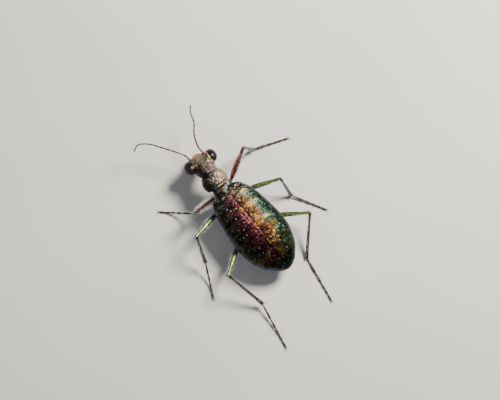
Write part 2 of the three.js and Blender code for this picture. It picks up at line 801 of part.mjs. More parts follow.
function legParts(leg, sideName, side) {
  const joints = legJoints(leg, sideName, side);
  const trunkNeighbours = [prothoraxBody(SEAT_GAP), thoraxBody(SEAT_GAP)];
  let coxa = solidOf(coxaBody(leg, joints, 0));
  let femur = solidOf(femurBody(leg, joints));
  trunkNeighbours.forEach((neighbour) => {
    coxa = coxa.subtract(solidOf(neighbour));
    femur = femur.subtract(solidOf(neighbour));
  });
  femur = femur.subtract(solidOf(coxaBody(leg, joints, SEAT_GAP)));
  const name = `${leg.name}_${sideName}`;
  const thighMaterial = leg.name === "front" ? redCopper : greenCopper;
  return [
    namedMesh(`coxa_${name}`, geometryOf(coxa), darkShell),
    namedMesh(`femur_${name}`, geometryOf(femur), thighMaterial),
    namedMesh(`tibia_${name}`, tibiaBody(leg, joints), darkLeg),
    namedMesh(`tarsus_${name}`, footBody(joints), darkLeg),
  ];
}

// Everything together, moved so that the origin is under the middle of its box.
function beetle() {
  const matrix = headMatrix();
  const body = new THREE.Group();
  body.add(...elytra());
  body.add(namedMesh("scutellum", scutellumBody(0), coppery));
  body.add(namedMesh("prothorax", prothoraxBody(0), coppery));
  body.add(...trunk());
  body.add(...headParts(matrix));
  SIDES.forEach(([sideName, side]) => {
    body.add(...antenna(sideName, side, matrix));
    LEGS.forEach((leg) => body.add(...legParts(leg, sideName, side)));
  });
  const middle = new THREE.Box3().setFromObject(body).getCenter(new THREE.Vector3());
  body.position.set(-middle.x, -middle.y, 0);
  const model = new THREE.Group();
  model.add(body);
  return model;
}

export default beetle();
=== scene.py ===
"""Tiger beetle, a still life-size model: fine surfaces, bristles and finishes over the fixed frame.

Shapes are worked out in millimetres from the base of the wing cases, +Y towards the head and
+X to the animal's right, and then put in the frame's own place in metres.
"""

import math
from itertools import product
import bpy
import numpy as np
from bpy.props import FloatProperty, FloatVectorProperty, PointerProperty
from bpy.types import Operator, Panel, PropertyGroup
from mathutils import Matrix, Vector
from mathutils.kdtree import KDTree


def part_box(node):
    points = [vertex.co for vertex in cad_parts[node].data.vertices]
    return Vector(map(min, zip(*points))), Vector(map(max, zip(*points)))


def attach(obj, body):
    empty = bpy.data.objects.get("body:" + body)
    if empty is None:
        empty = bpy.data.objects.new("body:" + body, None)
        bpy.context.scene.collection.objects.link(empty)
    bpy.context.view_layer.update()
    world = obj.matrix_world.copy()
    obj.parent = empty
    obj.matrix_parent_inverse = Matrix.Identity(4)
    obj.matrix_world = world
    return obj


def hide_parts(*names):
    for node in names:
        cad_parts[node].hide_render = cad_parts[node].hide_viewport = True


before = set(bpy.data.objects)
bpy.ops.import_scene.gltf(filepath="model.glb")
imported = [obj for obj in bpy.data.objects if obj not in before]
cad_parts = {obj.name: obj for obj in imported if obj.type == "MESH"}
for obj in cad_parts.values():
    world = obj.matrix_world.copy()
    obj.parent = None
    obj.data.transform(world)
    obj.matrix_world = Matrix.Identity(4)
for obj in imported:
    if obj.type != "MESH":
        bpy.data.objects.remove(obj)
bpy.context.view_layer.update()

bl_info = {
    "name": "Tiger beetle",
    "version": (1, 0, 0),
    "blender": (4, 5, 0),
    "location": "3D View > Sidebar > Beetle",
    "description": "Builds a life-size tiger beetle over its fixed frame",
    "category": "Object",
}

MM = 0.001
SEED = 11
SIDES = {"right": 1, "left": -1}
UP = np.array([0.0, 0.0, 1.0])
NOISE_FACTORS = np.array([374761393, 668265263, 1274126177])
NOISE_SEED_FACTOR = 974634777
NOISE_SPREAD_FACTOR = 1103515245
TUBE_END_SHARE = 0.05

# Sizes in millimetres. Relief is (height, place, width), and grain is (height, fineness, seed)

# Wing cases: length, then half width and arch by share of the length
WING_LENGTH = 10.85
WING_MARGIN_FRONT = 3.75
WING_MARGIN_DROP = 1.3
WING_LIP = 0.2
WING_FULLNESS = 2.3
WING_TURN = math.radians(0.6)
WING_SEAM = 0.004
WING_TIP_SHARE = 0.012
WING_FRONT_ROUND = 0.12
WING_TIP_LEAST = 0.0004
WING_FRONT_LEAST = 0.02
WING_INNER_LIMIT = 0.9
NOTCH_ROOM = 1.16
NOTCH_REACH = 1.9
WING_HALF_WIDTH = [
    (0, 1.4), (0.02, 1.75), (0.05, 2.02), (0.16, 2.5), (0.35, 2.88), (0.55, 3.06),
    (0.68, 2.93), (0.8, 2.48), (0.9, 1.72), (0.96, 1.02), (0.99, 0.46),
]
WING_ARCH = [
    (0, 0.62), (0.02, 0.8), (0.05, 0.93), (0.16, 1.3), (0.35, 1.66), (0.55, 1.8),
    (0.68, 1.7), (0.8, 1.4), (0.9, 0.95), (0.96, 0.55), (0.99, 0.25),
]
WING_STATIONS = 400
WING_TOP_STEPS = 150
WING_UNDER_STEPS = 24
WING_TIP_STEPS = 12
WING_FRONT_STEPS = 9
PIT_ROWS = [0.13, 0.29, 0.44, 0.6, 0.75, 0.9]
PIT_SPACING = 0.62
PIT_JITTER = 0.17
PIT_WANDER = 0.035
PIT_START = (0.02, 0.06)
PIT_END = 0.96
PIT_SIZES = (0.65, 1.15)
DOT_COUNT = 1500
DOT_SCATTER = 0.02
DOT_RELIEF = [(-0.012, 0.0, 0.04)]
WING_SEAM_RELIEF = [(0.02, 0.05, 0.05), (-0.02, 0.15, 0.05)]
WING_RIM_RELIEF = [(0.03, 0.0, 0.07), (-0.05, 0.2, 0.09)]
WING_FOLD = 1.3
WING_FOLD_STRETCH = (1.3, 4.2, 1.3)
WING_WAVE_STRETCH = (1, 2.2, 1)
WING_WAVES = [(0.02, 1.6, 2)]
WING_GRAIN = [(0.035, 1.1, 1), (0.005, 9.0, 3)]
WING_SHOULDER = (0.03, 0.24)
# Seam line: its width in front, and how much its painted shadow widens towards the rear
SEAM_TINT_WIDTH = 0.04
SEAM_SHADOW_SPREAD = 0.05
RIM_TINT_WIDTH = 0.085

# Scutellum
SHIELD_FRONT = 0.57
SHIELD_BACK = -0.72
SHIELD_SHOULDER = 0.05
SHIELD_HALF_WIDTH = 0.83
SHIELD_NECK = 0.5
SHIELD_BOTTOM = 3.56
SHIELD_TOP = 4.42
SHIELD_EDGE = 0.12
SHIELD_STEPS = 60
SHIELD_FULLNESS = 4.0
SHIELD_GRAIN = [(0.02, 4.0, 21), (0.008, 10.0, 22)]

# Prothorax: y, half width, rise
PRO_X = -0.13
PRO_Z = 3.85
PRO_FULLNESS = 2.25
PRO_STEPS = 190
PRO_BACK = 0.6
PRO_FRONT = 2.46
PRO_SIDE = [
    (0.6, 1.0), (0.74, 1.02), (0.88, 1.24), (1.3, 1.42), (1.75, 1.4), (2.15, 1.24), (2.3, 1.16), (2.46, 1.2),
]
PRO_RISE = [
    (0.6, 0.82), (0.74, 0.8), (0.88, 1.0), (1.3, 1.12), (1.75, 1.1), (2.15, 0.98), (2.3, 0.9), (2.46, 0.94),
]
PRO_EDGE = 0.07
PRO_EDGE_STEP = 0.03
PRO_EDGE_SHARE = 0.85
PRO_RIPPLE_LENGTH = 0.14
PRO_RIPPLE_DRIFT = [(4.0, 1.9, 11), (3.0, 4.6, 12)]
PRO_DISC = [(0.82, 0.95), (2.12, 2.24)]
PRO_MIDDLE_LINE = [(-0.05, 0.0, 0.035)]
PRO_GROOVES = [(-0.05, 2.26, 0.05), (-0.05, 0.76, 0.06)]
PRO_GROOVE_TINT = [(1.0, 0.74, 0.11), (0.7, 2.27, 0.07)]

# Underside: y, half width, depth
TRUNK_FRONT = 0.57
TRUNK_SPLIT = -4.9
TRUNK_BACK = -10.35
TRUNK_FULLNESS = 1.8
TRUNK_TOP_GAP = 0.3
TRUNK_HALF_WIDTH = [
    (-10.35, 0.6), (-9.6, 1.25), (-8.6, 2.0), (-7, 2.6), (-4.9, 2.68), (-3, 2.45), (-1.2, 2.0), (-0.2, 1.35),
    (0.57, 0.8),
]
TRUNK_DEPTH = [
    (-10.35, 0.22), (-9.6, 0.5), (-8.6, 0.75), (-7, 1.0), (-4.9, 1.16), (-3, 1.18), (-1.2, 1.14), (-0.2, 0.9),
    (0.57, 0.56),
]
BELLY_PLATES = 6
BELLY_STEP = 0.09
BELLY_STATIONS = 240
THORAX_STEPS = 170
TRUNK_SIDES = 120
TRUNK_SPLIT_GAP = 0.04
BELLY_GRAIN = [(0.012, 5.0, 53), (0.006, 11.0, 54)]
THORAX_GRAIN = [(0.02, 5.0, 51), (0.012, 9.0, 52)]
THORAX_SEAMS = [(-0.06, -0.55, 0.05), (-0.06, -2.0, 0.05), (-0.06, -3.9, 0.05)]
THORAX_SEAM_BEND = 0.12
THORAX_SIDE_SEAM = [(-0.05, 1.45, 0.05)]
THORAX_MIDDLE_LINE = [(-0.05, 0.0, 0.04)]

# Head, in its own frame: +Y out of the mouth, +Z the crown, origin at the neck
NECK = np.array([-0.12, 2.6, 4.3])
HEAD_PITCH = math.radians(46)
HEAD_YAW = math.radians(7)
HEAD_ROLL = math.radians(4)
HEAD_FULLNESS = 2.2
HEAD_STEPS = 220
HEAD_SIDES = 200
HEAD_BACK = -0.5
HEAD_FRONT = 3.05
HEAD_HALF_WIDTH = [
    (-0.5, 0.75), (0.1, 0.98), (0.8, 1.1), (1.6, 1.02), (2.3, 1.0), (2.75, 0.98), (3.05, 0.82),
]
HEAD_TOP = [(-0.5, 0.5), (0.1, 0.72), (0.8, 0.84), (1.6, 0.72), (2.3, 0.6), (2.75, 0.46), (3.05, 0.32)]
HEAD_BOTTOM = [(-0.5, 0.5), (0.1, 0.75), (0.8, 0.92), (1.6, 0.92), (2.3, 0.82), (2.75, 0.66), (3.05, 0.42)]
EYE_CENTRE = np.array([1.32, 1.82, 0.32])
EYE_RADII = np.array([0.66, 0.83, 0.72])
EYE_RIM_RELIEF = [(0.06, 1.1, 0.08), (-0.08, 0.9, 0.12)]
BROW = [(0.7, 0.85, 0.74), (0.66, 1.6, 0.78), (0.8, 2.62, 0.42)]
BROW_CREST = [(0.68, 0.9, 0.52), (0.74, 1.3, 0.73), (0.8, 1.8, 0.75), (0.84, 2.3, 0.54), (0.82, 2.66, 0.32)]
BROW_GIRTH = ([0, 0.2, 0.5, 0.8, 1], [0.04, 0.12, 0.14, 0.11, 0.07])
ORBIT_X = 1.0
ORBIT_GIRTH = 0.1
TEMPLE = np.array([0.98, 0.98, 0.22])
TEMPLE_RELIEF = [(0.13, 0.0, 0.42)]
FEELER_ROOT = np.array([0.72, 2.5, 0.2])
SOCKET_GIRTH = 0.17
SOCKET_COLLAR = [0.45, 0.65, 0.85]
SOCKET_RELIEF = [(0.03, 0.2, 0.05), (-0.06, 0.0, 0.12)]
CLYPEUS_GROOVE = [(-0.05, 2.66, 0.04)]
CROWN_HOLLOW = [(-0.04, 0.0, 0.25)]
CROWN_END = (2.3, 2.7)
BROW_RISE = 0.12
BROW_WIDTH = 0.12
HEAD_STREAK_LENGTH = 0.085
HEAD_EDGE = 0.14
HEAD_EDGE_SHARE = 0.7
HEAD_RIM_GRAIN = [(0.025, 7.0, 33), (0.014, 16.0, 34)]
LIP_STEPS = 90
LIP_BACK = 3.0
LIP_FRONT = 3.58
LIP_HALF_WIDTH = 0.68
LIP_TOP = 0.24
LIP_THICKNESS = 0.2
LIP_CROWN = 0.1
LIP_LEAST_DEPTH = 0.04
LIP_FULLNESS = 2.8
LIP_GRAIN = [(0.006, 6.0, 41)]
LIP_TEETH = [(0.1, 0.0, 0.07)]
LIP_SIDE_TEETH = [(0.05, 0.24, 0.06)]
LIP_DENT = [(-0.02, 0.3, 0.1)]
JAW = [(0.66, 3.0, -0.4), (0.84, 3.5, -0.52), (0.7, 4.0, -0.66), (0.12, 4.36, -0.78)]
JAW_TEETH = [0.42, 0.66]
JAW_RADIUS = 0.26
JAW_TOOTH_LENGTH = 0.27
JAW_TOOTH_RADIUS = 0.12
LONG_PALP = [(0.72, 2.4, -0.86), (1.0, 2.95, -1.14), (0.9, 3.45, -1.3)]
LONG_PALP_JOINTS = [0, 0.2, 0.52, 0.76, 1]
LONG_PALP_RADIUS = 0.13
SHORT_PALP = [(0.28, 2.35, -1.02), (0.42, 2.9, -1.34), (0.36, 3.3, -1.4)]
SHORT_PALP_JOINTS = [0, 0.25, 0.7, 1]
SHORT_PALP_RADIUS = 0.12
PALP_GAPS = (0.012, 0.004)

# Feelers: route after the socket, and where each segment ends by share of the way
FEELER_SOCKET = np.array([0.8, 2.76, 0.56])
FEELER_ROUTES = {
    "right": [(0.86, 5.55, 3.0), (1.31, 6.74, 3.4), (2.2, 7.9, 3.85), (2.53, 8.85, 4.0), (3.01, 9.47, 4.0)],
    "left": [
        (-0.86, 5.7, 3.0), (-1.35, 6.56, 3.3), (-2.2, 7.8, 3.75), (-3.1, 9.05, 4.1), (-4.1, 9.74, 4.05),
        (-4.86, 9.5, 3.8),
    ],
}
FEELER_LENGTHS = [
    ("base", "scape", [0.0, 0.13]),
    ("stem", "stem", [0.13, 0.165, 0.275, 0.38]),
    ("lash", "flagellum", [0.38, 0.47, 0.56, 0.65, 0.74, 0.83, 0.915, 1.0]),
]
FEELER_GIRTH = ([0, 0.13, 0.38, 1], [0.125, 0.105, 0.095, 0.07])
FEELER_GAPS = (0.002, 0.003)

# Legs: hips, segment lengths, where each joint stands in plan, and number and length of thigh bristles
FOOT_HEIGHT = 0.115
FLOOR_GAP = 0.005
LEGS = {
    "front": {
        "coxa": (0.42, 0.52, 0.46), "hip": (0.62, 0.62, 2.5), "femur": 4.05, "tibia": 3.2,
        "spur": 0.4, "girth": 0.95, "thigh_bristles": (21, 1.0),
        "right": {"turn": (1.12, 0.48, 2.5), "knee": (4.56, 2.34), "ankle": (5.3, 1.78), "toe": (9.0, 0.3)},
        "left": {"turn": (-1.0, 0.1, 2.32), "knee": (-3.7, 0.07), "ankle": (-4.0, 0.26), "toe": (-6.7, 2.85)},
    },
    "middle": {
        "coxa": (0.5, 0.5, 0.46), "hip": (1.2, -1.15, 2.2), "femur": 4.3, "tibia": 3.7,
        "spur": 0.45, "girth": 0.86, "thigh_bristles": (14, 0.75),
        "right": {
            "turn": (1.75, -1.2, 2.15), "knee": (5.5, -2.8), "ankle": (5.4, -4.75), "toe": (7.3, -8.3),
        },
        "left": {
            "turn": (-1.75, -1.2, 2.15), "knee": (-5.5, -1.9), "ankle": (-6.45, -4.5), "toe": (-8.2, -7.9),
        },
    },
    "hind": {
        "coxa": (0.72, 0.5, 0.44), "hip": (1.2, -4.5, 1.75), "femur": 4.75, "tibia": 5.45,
        "spur": 0.55, "girth": 0.86, "thigh_bristles": (14, 0.75),
        "right": {
            "turn": (1.95, -4.95, 1.62), "knee": (5.65, -7.65), "ankle": (2.4, -11.1), "toe": (1.5, -16.3),
        },
        "left": {
            "turn": (-1.95, -4.95, 1.62), "knee": (-5.5, -7.3), "ankle": (-4.55, -11.85),
            "toe": (-5.55, -17.05),
        },
    },
}
COXA_GRAIN = [(0.05, 2.6, 64), (0.02, 6.0, 61)]
THIGH_GRAIN = [(0.006, 8.0, 62)]
SHIN_GRAIN = [(0.005, 9.0, 63)]
SHIN_START = 0.1
SHIN_BOW = 0.05
SPUR_RADIUS = 0.055
SPUR_OUT = 0.11
SPUR_BACK = 0.1
TURN_START = 0.2
FOOT_BEND = 0.55
THIGH_PROFILE = [
    (0, 0.16), (0.05, 0.22), (0.1, 0.22), (0.14, 0.18), (0.18, 0.21), (0.32, 0.3), (0.46, 0.315),
    (0.66, 0.27), (0.86, 0.185), (0.94, 0.2), (1, 0.18),
]
SHIN_PROFILE = [(0, 0.15), (0.05, 0.165), (0.12, 0.14), (0.5, 0.165), (0.88, 0.185), (0.96, 0.215), (1, 0.2)]
FOOT_SHARES = [0.0, 0.33, 0.54, 0.71, 0.83, 1.0]
FOOT_WAIST_RADIUS = 0.085
FOOT_END_RADIUS = 0.13
FOOT_START = 0.045
FOOT_TAPER = 0.12
CLAW_LENGTH = 0.5
CLAW_SPREAD = math.radians(22)
CLAW_RADIUS = 0.05
CLAW_TIP_HEIGHT = 0.025
CLAW_ARCH = 0.11

# Bristles: rows by their angle round the leg, sideways first, and places by share of the way along it
THIGH_BRISTLES = {
    "rows": (0.1, math.pi - 0.1, -0.5, math.pi + 0.5, -1.5, 0.7, math.pi - 0.7, 1.15, math.pi - 1.15),
    "places": (0.22, 0.95), "spread": 0.08, "lengths": (0.6, 1.0), "width": 1.0, "lean": 0.35, "tilt": 0.16,
}
SHIN_BRISTLES = {
    "rows": tuple(k * math.pi / 3 + 0.3 for k in range(6)),
    "places": (0.06, 0.97), "spread": 0.12, "lengths": (0.4, 0.75), "width": 0.85, "lean": 0.8, "tilt": 0.15,
}
FOOT_BRISTLES = {
    "rows": (0.2, math.pi - 0.2, 1.2, -0.35, math.pi + 0.35),
    "places": (0.05, 0.96), "spread": 0.15, "lengths": (0.2, 0.4), "width": 0.75, "lean": 0.9, "tilt": 0.12,
}
SHIN_ROW_BASE = 4
SHIN_ROW_DENSITY = 1.8
FOOT_ROW_COUNT = 11
FOOT_BRISTLE_RADIUS = 0.09
LIP_BRISTLE_COUNT = 9
LIP_BRISTLE_REACH = 0.58
LIP_BRISTLE_LENGTH = 0.9
BRISTLE_POINTS = 10
BRISTLE_LEVELS = (0.0, 0.4, 0.75)
ROOT_DEPTH = 0.02
PATCH_RADIUS = 0.0014

# Colours by place along a ramp, from 0 to 1
SHOULDER_STOPS = [
    (0.28, (0.01, 0.014, 0.014)), (0.4, (0.02, 0.09, 0.09)), (0.46, (0.014, 0.012, 0.01)),
    (0.52, (0.22, 0.08, 0.07)), (0.57, (0.34, 0.2, 0.06)), (0.63, (0.03, 0.17, 0.16)),
    (0.72, (0.16, 0.03, 0.07)),
]
GROOVE_STOPS = [
    (0.3, (0.4, 0.06, 0.06)), (0.44, (0.7, 0.36, 0.08)), (0.5, (0.02, 0.02, 0.02)),
    (0.56, (0.04, 0.4, 0.42)), (0.68, (0.06, 0.3, 0.12)),
]
FEELER_STOPS = [
    (0.3, (0.02, 0.014, 0.01)), (0.44, (0.13, 0.045, 0.03)), (0.54, (0.24, 0.13, 0.075)),
    (0.64, (0.04, 0.08, 0.04)),
]
UNDERSIDE_STOPS = [
    (0.28, (0.012, 0.02, 0.02)), (0.42, (0.03, 0.07, 0.06)), (0.55, (0.05, 0.09, 0.1)),
    (0.68, (0.12, 0.06, 0.04)),
]
# Thigh colours: painted shade on the underside, a painted highlight along the top
RED_THIGH_STOPS = [
    (0.3, (0.012, 0.008, 0.006)), (0.72, (0.02, 0.012, 0.008)), (0.82, (0.08, 0.022, 0.016)),
    (0.88, (0.26, 0.06, 0.045)), (0.94, (0.36, 0.18, 0.14)), (0.98, (0.1, 0.05, 0.04)),
]
GREEN_THIGH_STOPS = [
    (0.3, (0.012, 0.009, 0.006)), (0.68, (0.03, 0.018, 0.009)), (0.78, (0.02, 0.07, 0.022)),
    (0.84, (0.08, 0.2, 0.045)), (0.88, (0.32, 0.34, 0.06)), (0.92, (0.09, 0.2, 0.05)),
    (0.97, (0.4, 0.13, 0.1)),
]
FLOOR_STOPS = [(0.3, (0.6, 0.58, 0.55)), (0.7, (0.64, 0.62, 0.59))]

# Where the colours change: shares along a wing case, or across from the left edge to the right one
REAR_PLACE = (0.56, 0.84)
APEX_PLACE = (0.8, 0.93)
SHOULDER_PLACE = (0.26, 0.03)
SEAM_START = (0.03, 0.12)
# Where the seam line turns to painted shadow
SEAM_SHADOW_PLACE = (0.3, 0.62)
RIM_SIDES = (0.45, 0.55)
HEAD_SHADED = (0.2, 0.62)
HEAD_PAINTED_HIGHLIGHT = (0.74, 0.92)

# Values between which the random patterns are read
GRAIN_SPAN = (0.3, 0.7)
CELL_SPAN = (0.05, 0.55)

# Shine shared by several finishes, and facets of the eyes in one millimetre
COAT_ROUGHNESS = 0.12
HORN_SPECULAR = 0.32
EYE_FACETS = 20.0

# View: the photograph's frame and the animal's place in it
IMAGE_WIDTH = 500
MM_PER_PIXEL = 0.1076
VIEW_TARGET = np.array([1.45, -2.55, 4.3])
SENSOR_WIDTH = 36.0
FLOOR_REACH = 3.0
KEY_LIGHT = {"way": (0.78, 0.1, 0.92), "distance": 0.14, "size": 0.044, "colour": (1.0, 0.96, 0.9)}
FILL_LIGHT = {"way": (-0.6, 0.7, 0.8), "distance": 0.16, "size": 0.09, "colour": (0.85, 0.9, 1.0)}
SKY_COLOUR = (0.9, 0.93, 1.0, 1.0)

PRO_LOW, PRO_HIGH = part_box("prothorax")
BODY_SHIFT = np.array([
    (PRO_LOW.x + PRO_HIGH.x) / 2 / MM - PRO_X,
    PRO_LOW.y / MM - PRO_BACK,
    0.0,
])


def size_property(label, text, value, least, most):
    return FloatProperty(
        name=label, description=text, default=value, min=least, max=most, precision=6,
        subtype="DISTANCE", unit="LENGTH",
    )


class BeetleSizes(PropertyGroup):
    """Fine sizes of the surface."""

    pit_width: size_property("Pit width", "Width of a pit on the wing cases", 0.00022, 0.0001, 0.0005)
    pit_depth: size_property("Pit depth", "Depth of a pit on the wing cases", 0.00004, 0.0, 0.0001)
    wrinkle: size_property(
        "Wrinkle height", "Height of the wrinkles on head and shoulders", 0.00004, 0.0, 0.0001,
    )
    bristle: size_property("Bristle length", "Length of the longest thigh bristles", 0.00052, 0.0001, 0.001)
    bristle_width: size_property("Bristle width", "Width of a bristle at its root", 0.00004, 0.00001, 0.0001)


def colour_property(label, text, value):
    return FloatVectorProperty(
        name=label, description=text, default=value, size=3, min=0.0, max=1.0, subtype="COLOR",
    )


class BeetleColours(PropertyGroup):
    """Colours of the finishes."""

    gold: colour_property("Gold", "Sunlit disc of the wing cases", (0.22, 0.1, 0.024))
    copper: colour_property("Copper", "Inner part of the wing cases", (0.19, 0.055, 0.016))
    magenta: colour_property("Magenta", "Stripe along the seam", (0.155, 0.026, 0.046))
    wine: colour_property("Wine", "Shaded disc of the wing cases", (0.09, 0.026, 0.026))
    olive: colour_property("Olive", "Outer part of the shaded side", (0.055, 0.042, 0.016))
    green: colour_property("Green", "Green patches and apex", (0.024, 0.07, 0.04))
    pit: colour_property("Pit", "Inside of the pits", (0.1, 0.28, 0.15))
    rim: colour_property("Rim", "Edge of the wing cases", (0.12, 0.08, 0.7))
    rose: colour_property("Rose", "Copper of head and prothorax", (0.22, 0.14, 0.125))
    ridge: colour_property("Ridge", "Ridges beside the eyes", (0.34, 0.29, 0.06))
    eye: colour_property("Eye", "Compound eyes", (0.008, 0.005, 0.004))
    tan: colour_property("Tan", "Upper lip", (0.55, 0.2, 0.04))
    leg: colour_property("Leg", "Shins and feet", (0.018, 0.012, 0.009))
    bristle: colour_property("Bristle", "Pale bristles", (0.85, 0.82, 0.76))


class BeetleStage(PropertyGroup):
    """View and light."""

    azimuth: FloatProperty(
        name="Azimuth", description="Direction of the view", default=math.radians(-39.55),
        subtype="ANGLE", unit="ROTATION",
    )
    elevation: FloatProperty(
        name="Elevation", description="Height of the view above the horizon", default=math.radians(86),
        subtype="ANGLE", unit="ROTATION",
    )
    distance: FloatProperty(
        name="Distance", description="Distance of the camera", default=0.3,
        subtype="DISTANCE", unit="LENGTH",
    )
    key_power: FloatProperty(
        name="Key light", description="Power of the main light", default=0.55,
        subtype="POWER", unit="POWER",
    )
    fill_power: FloatProperty(
        name="Fill light", description="Power of the second light", default=0.05,
        subtype="POWER", unit="POWER",
    )
    daylight: FloatProperty(
        name="Surrounding light", description="Strength of the light from all round", default=0.17,
    )


# Numbers along tables and curves


def smooth_along(table, places):
    """Values of a table of (place, value) pairs on a smooth curve through them."""
    at = np.array([pair[0] for pair in table], float)
    value = np.array([pair[1] for pair in table], float)
    slope = np.gradient(value, at)
    places = np.clip(np.asarray(places, float), at[0], at[-1])
    i = np.clip(np.searchsorted(at, places) - 1, 0, len(at) - 2)
    step = at[i + 1] - at[i]
    t = (places - at[i]) / step
    return (
        value[i] * (2 * t**3 - 3 * t**2 + 1)
        + slope[i] * step * (t**3 - 2 * t**2 + t)
        + value[i + 1] * (3 * t**2 - 2 * t**3)
        + slope[i + 1] * step * (t**3 - t**2)
    )


def squared(value, fullness):
    return np.sign(value) * np.abs(value) ** (2 / fullness)


def blend(low, high, value):
    """Smooth step from 0 at low to 1 at high."""
    t = np.clip((value - low) / (high - low), 0, 1)
    return t * t * (3 - 2 * t)


def hill(distance, width):
    return np.exp(-((distance / width) ** 2))


def ridges(distance, ranks):
    """Ridges and grooves over a distance; each is its height, where it lies and its width."""
    return sum(height * hill(distance - place, width) for height, place, width in ranks)


def eased(share, least):
    return least + (1 - least) * share


def full_turn(count):
    return np.linspace(0, 2 * math.pi, count, endpoint=False)


def dense_ends(first, last, count):
    """Places from first to last that lie closer together at both ends."""
    return first + (last - first) * (1 - np.cos(np.linspace(0, math.pi, count))) / 2


def rounded_ends(places, first, last, edge):
    """Scale of each place for ends that are rounded over an edge."""
    gap = np.clip(np.minimum(places - first, last - places) / edge, 0, 1)
    return np.sqrt(np.clip(1 - (1 - gap) ** 2, 0.0025, 1))


def placed(x, y, z):
    """Points from three coordinates, each spread over the others."""
    return np.stack(np.broadcast_arrays(x, y, z), axis=-1)


def curve_through(points, count):
    """Points spread evenly on a smooth curve through the given ones."""
    points = np.array(points, float)
    marks = np.concatenate([[0], np.cumsum(np.linalg.norm(np.diff(points, axis=0), axis=1) ** 0.5)])
    fine = np.linspace(0, marks[-1], 24 * len(points))
    dense = np.stack([smooth_along(list(zip(marks, points[:, k])), fine) for k in range(3)], axis=1)
    return even(dense, np.linspace(0, 1, count))


def even(path, shares):
    """Points of a path at shares of its length."""
    walked = np.concatenate([[0], np.cumsum(np.linalg.norm(np.diff(path, axis=0), axis=1))])
    wanted = np.asarray(shares) * walked[-1]
    return np.stack([np.interp(wanted, walked, path[:, k]) for k in range(3)], axis=1)


def bend_between(first, middle, last, count):
    t = np.linspace(0, 1, count)[:, None]
    return first * (1 - t) ** 2 + 2 * middle * t * (1 - t) + last * t**2


def noise(points, scale, seed):
    """Smooth random values from -1 to 1 over space."""
    spot = np.asarray(points) * scale
    cell = np.floor(spot).astype(np.int64)
    part = spot - cell
    part = part * part * (3 - 2 * part)
    total = np.zeros(spot.shape[:-1])
    for corner in product((0, 1), repeat=3):
        scrambled = (cell + np.array(corner)) @ NOISE_FACTORS + seed * NOISE_SEED_FACTOR
        scrambled = (scrambled ^ (scrambled >> 13)) * NOISE_SPREAD_FACTOR
        scrambled = scrambled ^ (scrambled >> 16)
        weight = np.prod(np.where(corner, part, 1 - part), axis=-1)
        total += weight * ((scrambled & 0xFFFF) / 0xFFFF)
    return total * 2 - 1


def rough(points, layers):
    """Smooth random heights; a layer is its height, fineness and seed."""
    return sum(height * noise(points, fineness, SEED + seed) for height, fineness, seed in layers)


def unit(vectors):
    return vectors / np.maximum(np.linalg.norm(vectors, axis=-1, keepdims=True), 1e-12)


def turn_about(axis, angle):
    c, s = math.cos(angle), math.sin(angle)
    if axis == "x":
        return np.array([[1, 0, 0], [0, c, -s], [0, s, c]])
    if axis == "y":
        return np.array([[c, 0, s], [0, 1, 0], [-s, 0, c]])
    return np.array([[c, -s, 0], [s, c, 0], [0, 0, 1]])


def distance_to_path(points, path):
    return np.linalg.norm(points[..., None, :] - path, axis=-1).min(axis=-1)


def nearest(points, places):
    """Distance from each point to the nearest place, and which place that is."""
    tree = KDTree(len(places))
    for i, place in enumerate(places):
        tree.insert(place, i)
    tree.balance()
    found = [tree.find(point) for point in points.reshape(-1, 3)]
    shape = points.shape[:-1]
    gaps = np.array([gap for _, _, gap in found]).reshape(shape)
    return gaps, np.array([index for _, index, _ in found]).reshape(shape)


# Closed bodies: each is a pair of points and faces


def outward(points, faces):
    """The faces turned so that they look out of the closed body."""
    corners = np.array([face if len(face) == 4 else (*face, face[2]) for face in faces])
    a, b, c, d = (points[corners[:, k]] for k in range(4))
    volume = np.sum(a * np.cross(b, c)) + np.sum(a * np.cross(c, d))
    if volume < 0:
        faces = [face[::-1] for face in faces]
    return points, faces


def loft(rings):
    """A body through rings of points, closed by a point in the middle of each end."""
    count, sides, _ = rings.shape
    index = np.arange(count * sides).reshape(count, sides)
    after = np.roll(index, -1, axis=1)
    quads = np.stack([index[:-1], after[:-1], after[1:], index[1:]], axis=-1).reshape(-1, 4)
    points = np.concatenate([rings.reshape(-1, 3), [rings[0].mean(axis=0), rings[-1].mean(axis=0)]])
    first, last = count * sides, count * sides + 1
    faces = [tuple(quad) for quad in quads.tolist()]
    faces += [(first, int(after[0, i]), int(index[0, i])) for i in range(sides)]
    faces += [(last, int(index[-1, i]), int(after[-1, i])) for i in range(sides)]
    return outward(points, faces)


def ring_normals(rings):
    along = np.gradient(rings, axis=0)
    around = np.roll(rings, -1, axis=1) - np.roll(rings, 1, axis=1)
    normals = unit(np.cross(around, along))
    facing = np.sum(normals * (rings - rings.mean(axis=1, keepdims=True)))
    return normals if facing > 0 else -normals


def raised(rings, height):
    """Rings moved out by a height at each point."""
    return rings + ring_normals(rings) * height[..., None]


def tube_frames(path):
    """Directions along, across (level) and up for each point of a path."""
    along = unit(np.gradient(path, axis=0))
    across = unit(np.cross(along, UP))
    return along, across, np.cross(across, along)


def tube_rings(path, radii, sides, flatness=1.0):
    """Rings round a path, with a rounded end at both ends."""
    along, across, up = tube_frames(path)
    turns = np.linspace(0, math.pi / 2, 5)[1:-1]
    radii = np.asarray(radii, float)

    def cap(i, way):
        steps = [(math.sin(turn), math.cos(turn)) for turn in turns] + [(1, TUBE_END_SHARE)]
        return [
            (path[i] + way * along[i] * radii[i] * out, radii[i] * share, across[i], up[i])
            for out, share in steps
        ]

    stack = cap(0, -1)[::-1]
    stack += [(path[i], radii[i], across[i], up[i]) for i in range(len(path))]
    stack += cap(len(path) - 1, 1)
    angle = full_turn(sides)
    return np.array([
        centre + radius * (np.outer(np.cos(angle), side) + flatness * np.outer(np.sin(angle), top))
        for centre, radius, side, top in stack
    ])


def tube(path, radii, sides, flatness=1.0):
    return loft(tube_rings(path, radii, sides, flatness))


